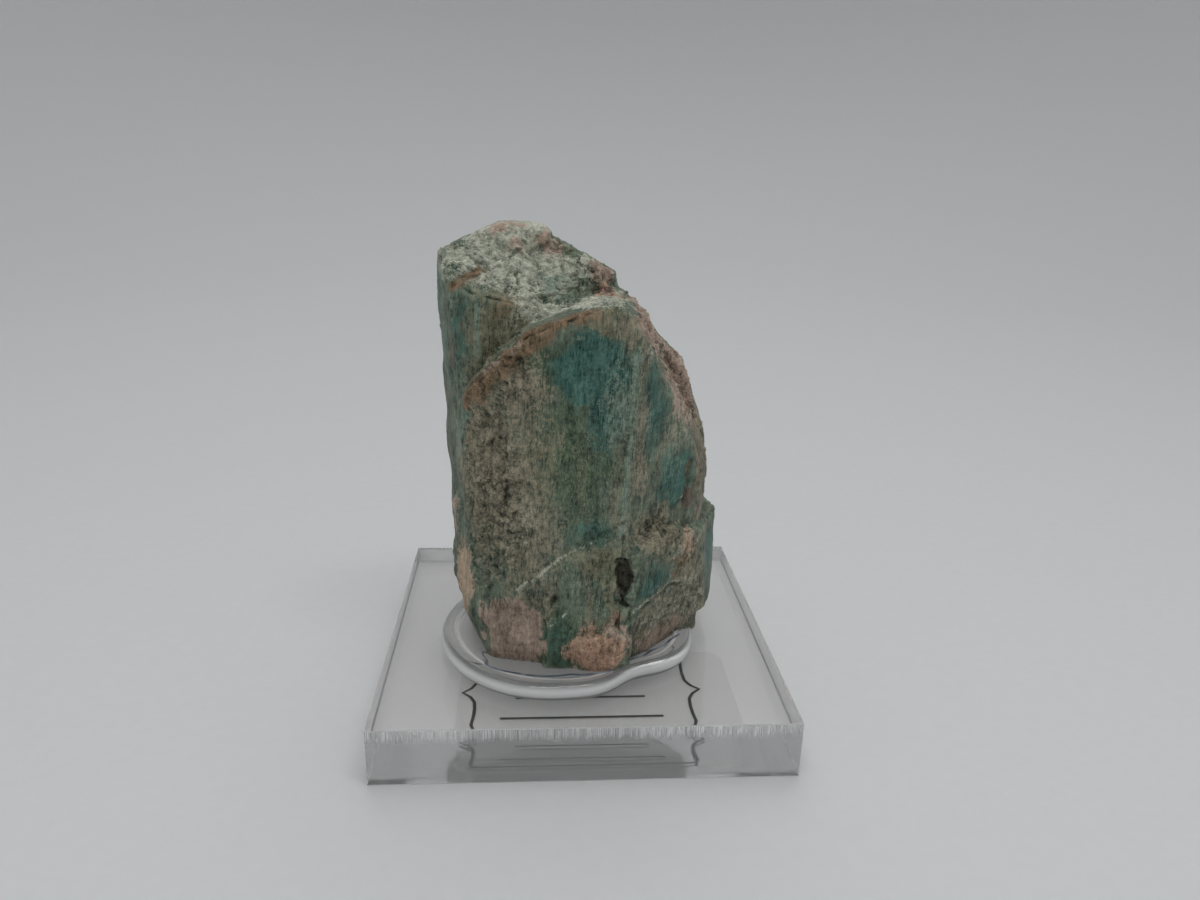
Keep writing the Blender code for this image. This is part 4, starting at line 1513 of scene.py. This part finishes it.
@dataclass
class GluePad:
    """The clear drop of glue: a flat round cushion with a thick rim, pinched at the front."""

    centre: Pair = (-1.5, -4.0)
    radius: float = 14.75
    bottom: float = 6.33
    rim_top: float = 2.06
    rim_depth: float = 1.15
    dish_width: float = 2.6
    dish_dip: float = 0.55
    rim_steps: int = 18
    dish_steps: int = 12
    steps: int = 180
    pinch_angle: float = -56.0
    pinch_depth: float = 2.3
    pinch_width: float = 17.0
    hollow_angle: float = -86.0
    hollow_depth: float = 0.75
    hollow_width: float = 22.0
    unevenness: float = 0.16
    flat_insets: tuple[float, ...] = (6.0, 9.0, 12.0, 14.2)
    # Middles and widths of the cloudy white bands round the rim, partly painted highlight
    cloud_and_highlight_bands: tuple[Pair, ...] = ((0.0, 0.55), (1.9, 0.45))
    cloudy_height: Pair = (0.4, 0.5)
    finish: GlueFinish = GlueFinish()

    def rings(self) -> list[Pair]:
        """The drop's section, from its underside over the rim towards the middle of its top.

        Returns:
            Pairs of a radius and a height over the underside.
        """
        rings = []
        for step in range(self.rim_steps + 1):
            turn = math.pi * (step / self.rim_steps - 0.5)
            inset = self.rim_depth * (1.0 - math.cos(turn))
            rings.append((inset, self.rim_top / 2 * (1.0 + math.sin(turn))))
        for step in range(1, self.dish_steps + 1):
            share = step / self.dish_steps
            dip = self.dish_dip * smooth_share(share)
            rings.append((self.rim_depth + self.dish_width * share, self.rim_top - dip))
        rings.extend((inset, self.rim_top - self.dish_dip) for inset in self.flat_insets)
        return [(self.radius - inset, height) for inset, height in rings]

    def edge(self, angle: float) -> float:
        """The drop's radius in one direction.

        Args:
            angle: The direction in degrees.

        Returns:
            The radius in millimetres.
        """
        pinch = self.pinch_depth * math.exp(-(((angle - self.pinch_angle) / self.pinch_width) ** 2))
        hollow = self.hollow_depth * math.exp(-(((angle - self.hollow_angle) / self.hollow_width) ** 2))
        turn = math.radians(angle)
        uneven = noise.noise(Vector((math.cos(turn) * 2.0, math.sin(turn) * 2.0, 3.0)))
        return self.radius - pinch - hollow + self.unevenness * uneven

    def top_at(self, x: float, y: float) -> float:
        """The height of the drop's top over one place of its dish.

        Args:
            x: The place across, in millimetres.
            y: The place in depth, in millimetres.

        Returns:
            The height in millimetres.
        """
        x, y = x - self.centre[0], y - self.centre[1]
        reach = math.hypot(x, y)
        pull = self.edge(math.degrees(math.atan2(y, x))) - self.radius
        inset = self.radius - reach + pull * (reach / self.radius) ** 2
        share = min(max((inset - self.rim_depth) / self.dish_width, 0.0), 1.0)
        return self.bottom + self.rim_top - self.dish_dip * smooth_share(share)

    def build(self) -> Object:
        """Model and dress the drop.

        Returns:
            The finished piece.
        """
        rings = self.rings()
        pad = added("glue_pad", bpy.ops.mesh.primitive_circle_add, vertices=self.steps,
                    radius=rings[0][0] * MM, fill_type="NGON")
        with editing():
            raise_rings(rings, bpy.ops.mesh.extrude_region_move)
            face_outward()
        self.press(pad)
        bpy.ops.object.shade_smooth()
        dress(pad, self.finish.material())
        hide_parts("adhesive_pad")
        return pad

    def press(self, pad: Object) -> None:
        """Give the round drop its uneven outline and its place.

        Args:
            pad: The turned drop, changed in place.
        """
        points, _ = read_surface(pad)
        inset = self.radius - np.hypot(points[:, 0], points[:, 1])
        # Bands round the rim, painted cloudy white: partly cloudier glue, partly painted highlight
        bands = [1.0 - smoothstep(np.abs(inset - middle), 0.0, width) for middle, width in self.cloud_and_highlight_bands]
        paint_points(pad, "rim", np.maximum(*bands) * smoothstep(points[:, 2], *self.cloudy_height))
        for index, (x, y, z) in enumerate(points):
            reach = math.hypot(x, y)
            if reach > 0.0:
                angle = math.degrees(math.atan2(y, x))
                pull = (self.edge(angle) - self.radius) * (reach / self.radius) ** 2
                x, y = x * (1.0 + pull / reach), y * (1.0 + pull / reach)
            points[index] = (x + self.centre[0], y + self.centre[1], z + self.bottom)
        write_surface(pad, points)


@dataclass
class GlueBead:
    """The thin wavy bead of glue that stands out along the front of the foot."""

    pad: GluePad
    points: tuple[Pair, ...] = (
        (-10.9, -11.9), (-10.4, -13.4), (-9.0, -14.4), (-7.0, -14.9), (-4.6, -15.3), (-2.8, -15.1),
        (-1.5, -14.8), (-0.3, -15.0), (1.0, -15.0), (2.3, -15.1), (3.8, -13.9), (5.5, -11.9), (6.9, -11.1),
        (8.0, -9.9), (9.2, -9.3), (10.4, -8.1), (11.4, -7.3))
    rise: float = 0.03
    width: float = 0.24
    steps: int = 8
    finish: BeadFinish = BeadFinish()

    def build(self) -> Object:
        """Model and dress the bead.

        Returns:
            The finished piece.
        """
        curve = new_tube("glue_bead", self.width, 3)
        curve.resolution_u = self.steps
        spline = curve.splines.new("BEZIER")
        spline.bezier_points.add(len(self.points) - 1)
        for knot, (x, y) in zip(spline.bezier_points, self.points):
            knot.co = (x * MM, y * MM, (self.pad.top_at(x, y) + self.rise) * MM)
            knot.handle_left_type = knot.handle_right_type = "AUTO"
        bead = as_mesh(curve)
        bpy.ops.object.shade_smooth()
        dress(bead, self.finish.material())
        return bead


@dataclass
class AcrylicBlock:
    """The square block that the crystals stand on, with sawn sides and sharp edges."""

    side: float = 44.45
    thick: float = 6.35
    edge: float = 0.10
    finish: AcrylicFinish = AcrylicFinish()

    def build(self) -> Object:
        """Model and dress the block.

        Returns:
            The finished piece.
        """
        block = added("acrylic_block", bpy.ops.mesh.primitive_cube_add, size=MM)
        with editing():
            bpy.ops.transform.resize(value=(self.side, self.side, self.thick))
            bpy.ops.transform.translate(value=(0.0, 0.0, self.thick / 2 * MM))
            bpy.ops.mesh.bevel(offset=self.edge * MM, segments=2, affect="EDGES")
        sawn = block.data.attributes.new("sawn", "FLOAT", "FACE")
        edge = block.data.attributes.new("edge", "FLOAT", "FACE")
        for index, face in enumerate(block.data.polygons):
            sawn.data[index].value = float(abs(face.normal.z) < 0.01)
            edge.data[index].value = float(max(map(abs, face.normal)) < 0.99)
        dress(block, self.finish.material())
        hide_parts("acrylic_base")
        return block


@dataclass
class FilmLabel:
    """The film label under the block, with a braced frame and two ruled lines in black."""

    left: float = -13.7
    right: float = 17.0
    near: float = -19.5
    far: float = -3.5
    corner: float = 2.0
    thick: float = 0.15
    lift: float = 0.05
    line: float = 0.36
    ink_thick: float = 0.03
    frame_middle: Pair = (0.0, -11.4)
    brace: tuple[Pair, ...] = (
        (11.2, 6.9), (11.75, 6.75), (12.0, 5.9), (11.85, 4.6), (11.8, 3.2), (11.9, 1.8), (12.4, 0.8),
        (13.3, 0.0))
    rules: tuple[tuple[float, float, float], ...] = ((-9.0, 8.6, -16.3), (-7.4, 7.0, -12.6))
    film: FilmFinish = FilmFinish()
    ink: InkFinish = InkFinish()

    def build(self) -> list[Object]:
        """Model and dress the film and its print.

        Returns:
            The finished pieces.
        """
        return [self.build_film(), self.build_print()]

    def build_film(self) -> Object:
        """Model the film as a thin plate with round corners.

        Returns:
            The film.
        """
        film = added("label_sheet", bpy.ops.mesh.primitive_plane_add, size=MM)
        middle = ((self.left + self.right) / 2 * MM, (self.near + self.far) / 2 * MM, self.lift * MM)
        with editing():
            bpy.ops.transform.resize(value=(self.right - self.left, self.far - self.near, 1.0))
            bpy.ops.transform.translate(value=middle)
            bpy.ops.mesh.bevel(offset=self.corner * MM, segments=8, affect="VERTICES")
            bpy.ops.mesh.select_all(action="SELECT")
            bpy.ops.mesh.extrude_region_move(TRANSFORM_OT_translate={"value": (0.0, 0.0, self.thick * MM)})
            face_outward()
        dress(film, self.film.material())
        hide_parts("label")
        return film

    def outline(self) -> list[Pair]:
        """The frame's line: a brace at each end, mirrored side to side and near to far.

        Returns:
            The line's points in order, round the frame.
        """
        near_right = [(x, -y) for x, y in self.brace]
        far_right = [(x, y) for x, y in reversed(self.brace[:-1])]
        right = near_right + far_right
        left = [(-x, y) for x, y in reversed(right)]
        return [(x + self.frame_middle[0], y + self.frame_middle[1]) for x, y in right + left]

    def build_print(self) -> Object:
        """Model the frame and the ruled lines as thin flat ink.

        Returns:
            The print.
        """
        curve = new_tube("label_print", self.line, 1)
        lines = [(self.outline(), True)]
        lines.extend(([(start, y), (end, y)], False) for start, end, y in self.rules)
        for points, closed in lines:
            spline = curve.splines.new("POLY")
            spline.points.add(len(points) - 1)
            for corner, (x, y) in zip(spline.points, points):
                corner.co = (x * MM, y * MM, 0.0, 1.0)
            spline.use_cyclic_u = closed
        ink = as_mesh(curve)
        points, _ = read_surface(ink)
        points[:, 2] = self.lift + self.thick + self.ink_thick * (points[:, 2] / self.line + 0.5)
        write_surface(ink, points)
        dress(ink, self.ink.material())
        return ink


@dataclass
class Studio:
    """A pale floor, a soft light and the camera at the photograph's angle."""

    focal_px: float = 917.148
    image_width_px: float = 1200.0
    sensor_mm: float = 36.0
    clip_mm: float = 5.0
    camera_at: Point = (-5.2616, -101.1265, 61.1537)
    yaw: float = -4.2065
    pitch: float = 17.8670
    roll: float = 1.4668
    floor_drop: float = 0.03
    floor_flat: float = 360.0
    floor_sweep: float = 800.0
    wall_height: float = 1500.0
    wall_steps: int = 96
    sweep_steps: int = 16
    floor_colour: Point = (0.80, 0.81, 0.815)
    floor_roughness: float = 0.7
    # Painted light: a lighter, glowing square of floor under the clear block
    tooth_shade: float = 0.985
    lit_square_side: float = 44.2
    lit_square_colour: Point = (0.90, 0.90, 0.89)
    lit_square_glow: float = 0.10
    sky: float = 0.45
    sky_colour: Point = (0.985, 0.995, 1.0)
    box_at: Point = (20.0, 320.0, 620.0)
    box_size: Pair = (600.0, 600.0)
    box_power: float = 0.92
    key_at: Point = (20.0, -110.0, 290.0)
    key_size: Pair = (220.0, 40.0)
    key_power: float = 0.19

    def build(self) -> None:
        """Set up the floor, the sky, the light and the camera."""
        self.lay_floor()
        self.light()
        self.aim()

    def sweep(self) -> list[Pair]:
        """The section of the floor and of the wall that it sweeps up into.

        Returns:
            Pairs of a radius and a height, outwards and upwards.
        """
        section = []
        for step in range(self.sweep_steps + 1):
            turn = math.pi / 2 * step / self.sweep_steps
            radius = self.floor_flat + self.floor_sweep * math.sin(turn)
            section.append((radius, self.floor_sweep * (1.0 - math.cos(turn))))
        return section + [(section[-1][0], self.wall_height)]

    def lay_floor(self) -> None:
        """Lay the pale floor, whose rim sweeps up all round, so that no horizon shows."""
        section = self.sweep()
        floor = added("floor", bpy.ops.mesh.primitive_circle_add, vertices=self.wall_steps,
                      radius=section[0][0] * MM, fill_type="NGON", location=(0.0, 0.0, -self.floor_drop * MM))
        with editing():
            bpy.ops.mesh.select_mode(type="EDGE")
            raise_rings(section, bpy.ops.mesh.extrude_edges_move)
        bpy.ops.object.shade_smooth()
        floor.data.materials.append(self.paper())

    def paper(self) -> Material:
        """Build the floor's material, with a lighter, glowing square right under the block: painted light for
        the light that the clear block lets through.

        Returns:
            A matt material of faint tooth.
        """
        shade = Shade("floor_paper")
        place = shade.millimetres()
        tooth = shade.ramp(shade.noise(place, 0.6, 4.0), 0.3, 0.7)
        colour = shade.blend(tooth, scaled(self.floor_colour, self.tooth_shade), self.floor_colour)
        # Painted light: the square under the block is lighter and glows
        lit_square = shade.inside(place, self.lit_square_side / 2)
        colour = shade.blend(lit_square, colour, self.lit_square_colour)
        glow = shade.times(lit_square, self.lit_square_glow)
        return shade.finish({"Base Color": colour, "Roughness": self.floor_roughness,
                             "Emission Color": colour, "Emission Strength": glow})

    def light(self) -> None:
        """Light the scene with an even sky, a large softbox overhead and a small lamp in front."""
        world = bpy.data.worlds.new("studio")
        world.use_nodes = True
        sky = world.node_tree.nodes["Background"]
        sky.inputs["Color"].default_value = (*self.sky_colour, 1.0)
        sky.inputs["Strength"].default_value = self.sky
        bpy.context.scene.world = world
        self.hang("softbox", self.box_at, self.box_size, self.box_power)
        self.hang("key_light", self.key_at, self.key_size, self.key_power)

    def hang(self, name: str, place: Point, size: Pair, power: float) -> None:
        """Hang a rectangular lamp that shines at the origin.

        Args:
            name: The lamp's name.
            place: Its middle, in millimetres.
            size: Its width and its depth in millimetres.
            power: Its power in watts.
        """
        data = bpy.data.lights.new(name, "AREA")
        data.shape = "RECTANGLE"
        data.size = size[0] * MM
        data.size_y = size[1] * MM
        data.energy = power
        lamp = bpy.data.objects.new(name, data)
        lamp.location = Vector(place) * MM
        lamp.rotation_euler = (-lamp.location).to_track_quat("-Z", "Y").to_euler()
        bpy.context.scene.collection.objects.link(lamp)

    def aim(self) -> None:
        """Put the camera where the photograph was taken from."""
        pitch, roll = math.radians(self.pitch), math.radians(self.roll)
        right = Vector((1.0, 0.0, 0.0))
        ahead = Vector((0.0, math.cos(pitch), -math.sin(pitch)))
        up = right.cross(ahead)
        rolled_right = right * math.cos(roll) + up * math.sin(roll)
        rolled_up = up * math.cos(roll) - right * math.sin(roll)
        turn = Matrix.Rotation(math.radians(self.yaw), 3, "Z")
        axes = Matrix((turn @ rolled_right, turn @ rolled_up, turn @ -ahead)).transposed()
        data = bpy.data.cameras.new("camera")
        data.sensor_fit = "HORIZONTAL"
        data.sensor_width = self.sensor_mm
        data.lens = self.focal_px / self.image_width_px * self.sensor_mm
        data.clip_start = self.clip_mm * MM
        camera = bpy.data.objects.new("camera", data)
        camera.matrix_world = Matrix.Translation(Vector(self.camera_at) * MM) @ axes.to_4x4()
        bpy.context.scene.collection.objects.link(camera)
        bpy.context.scene.camera = camera
        bpy.context.scene.view_settings.view_transform = "Standard"


def main() -> None:
    """Build the pieces in order."""
    logging.basicConfig(level=logging.INFO, format="%(message)s")
    Studio().build()
    pad = GluePad()
    pieces = [AcrylicBlock().build(), *FilmLabel().build(), pad.build(), GlueBead(pad).build(),
              Amazonite().build()]
    for piece in pieces:
        LOG.info("%s: %d faces", piece.name, len(piece.data.polygons))


if __name__ == "__main__":
    main()
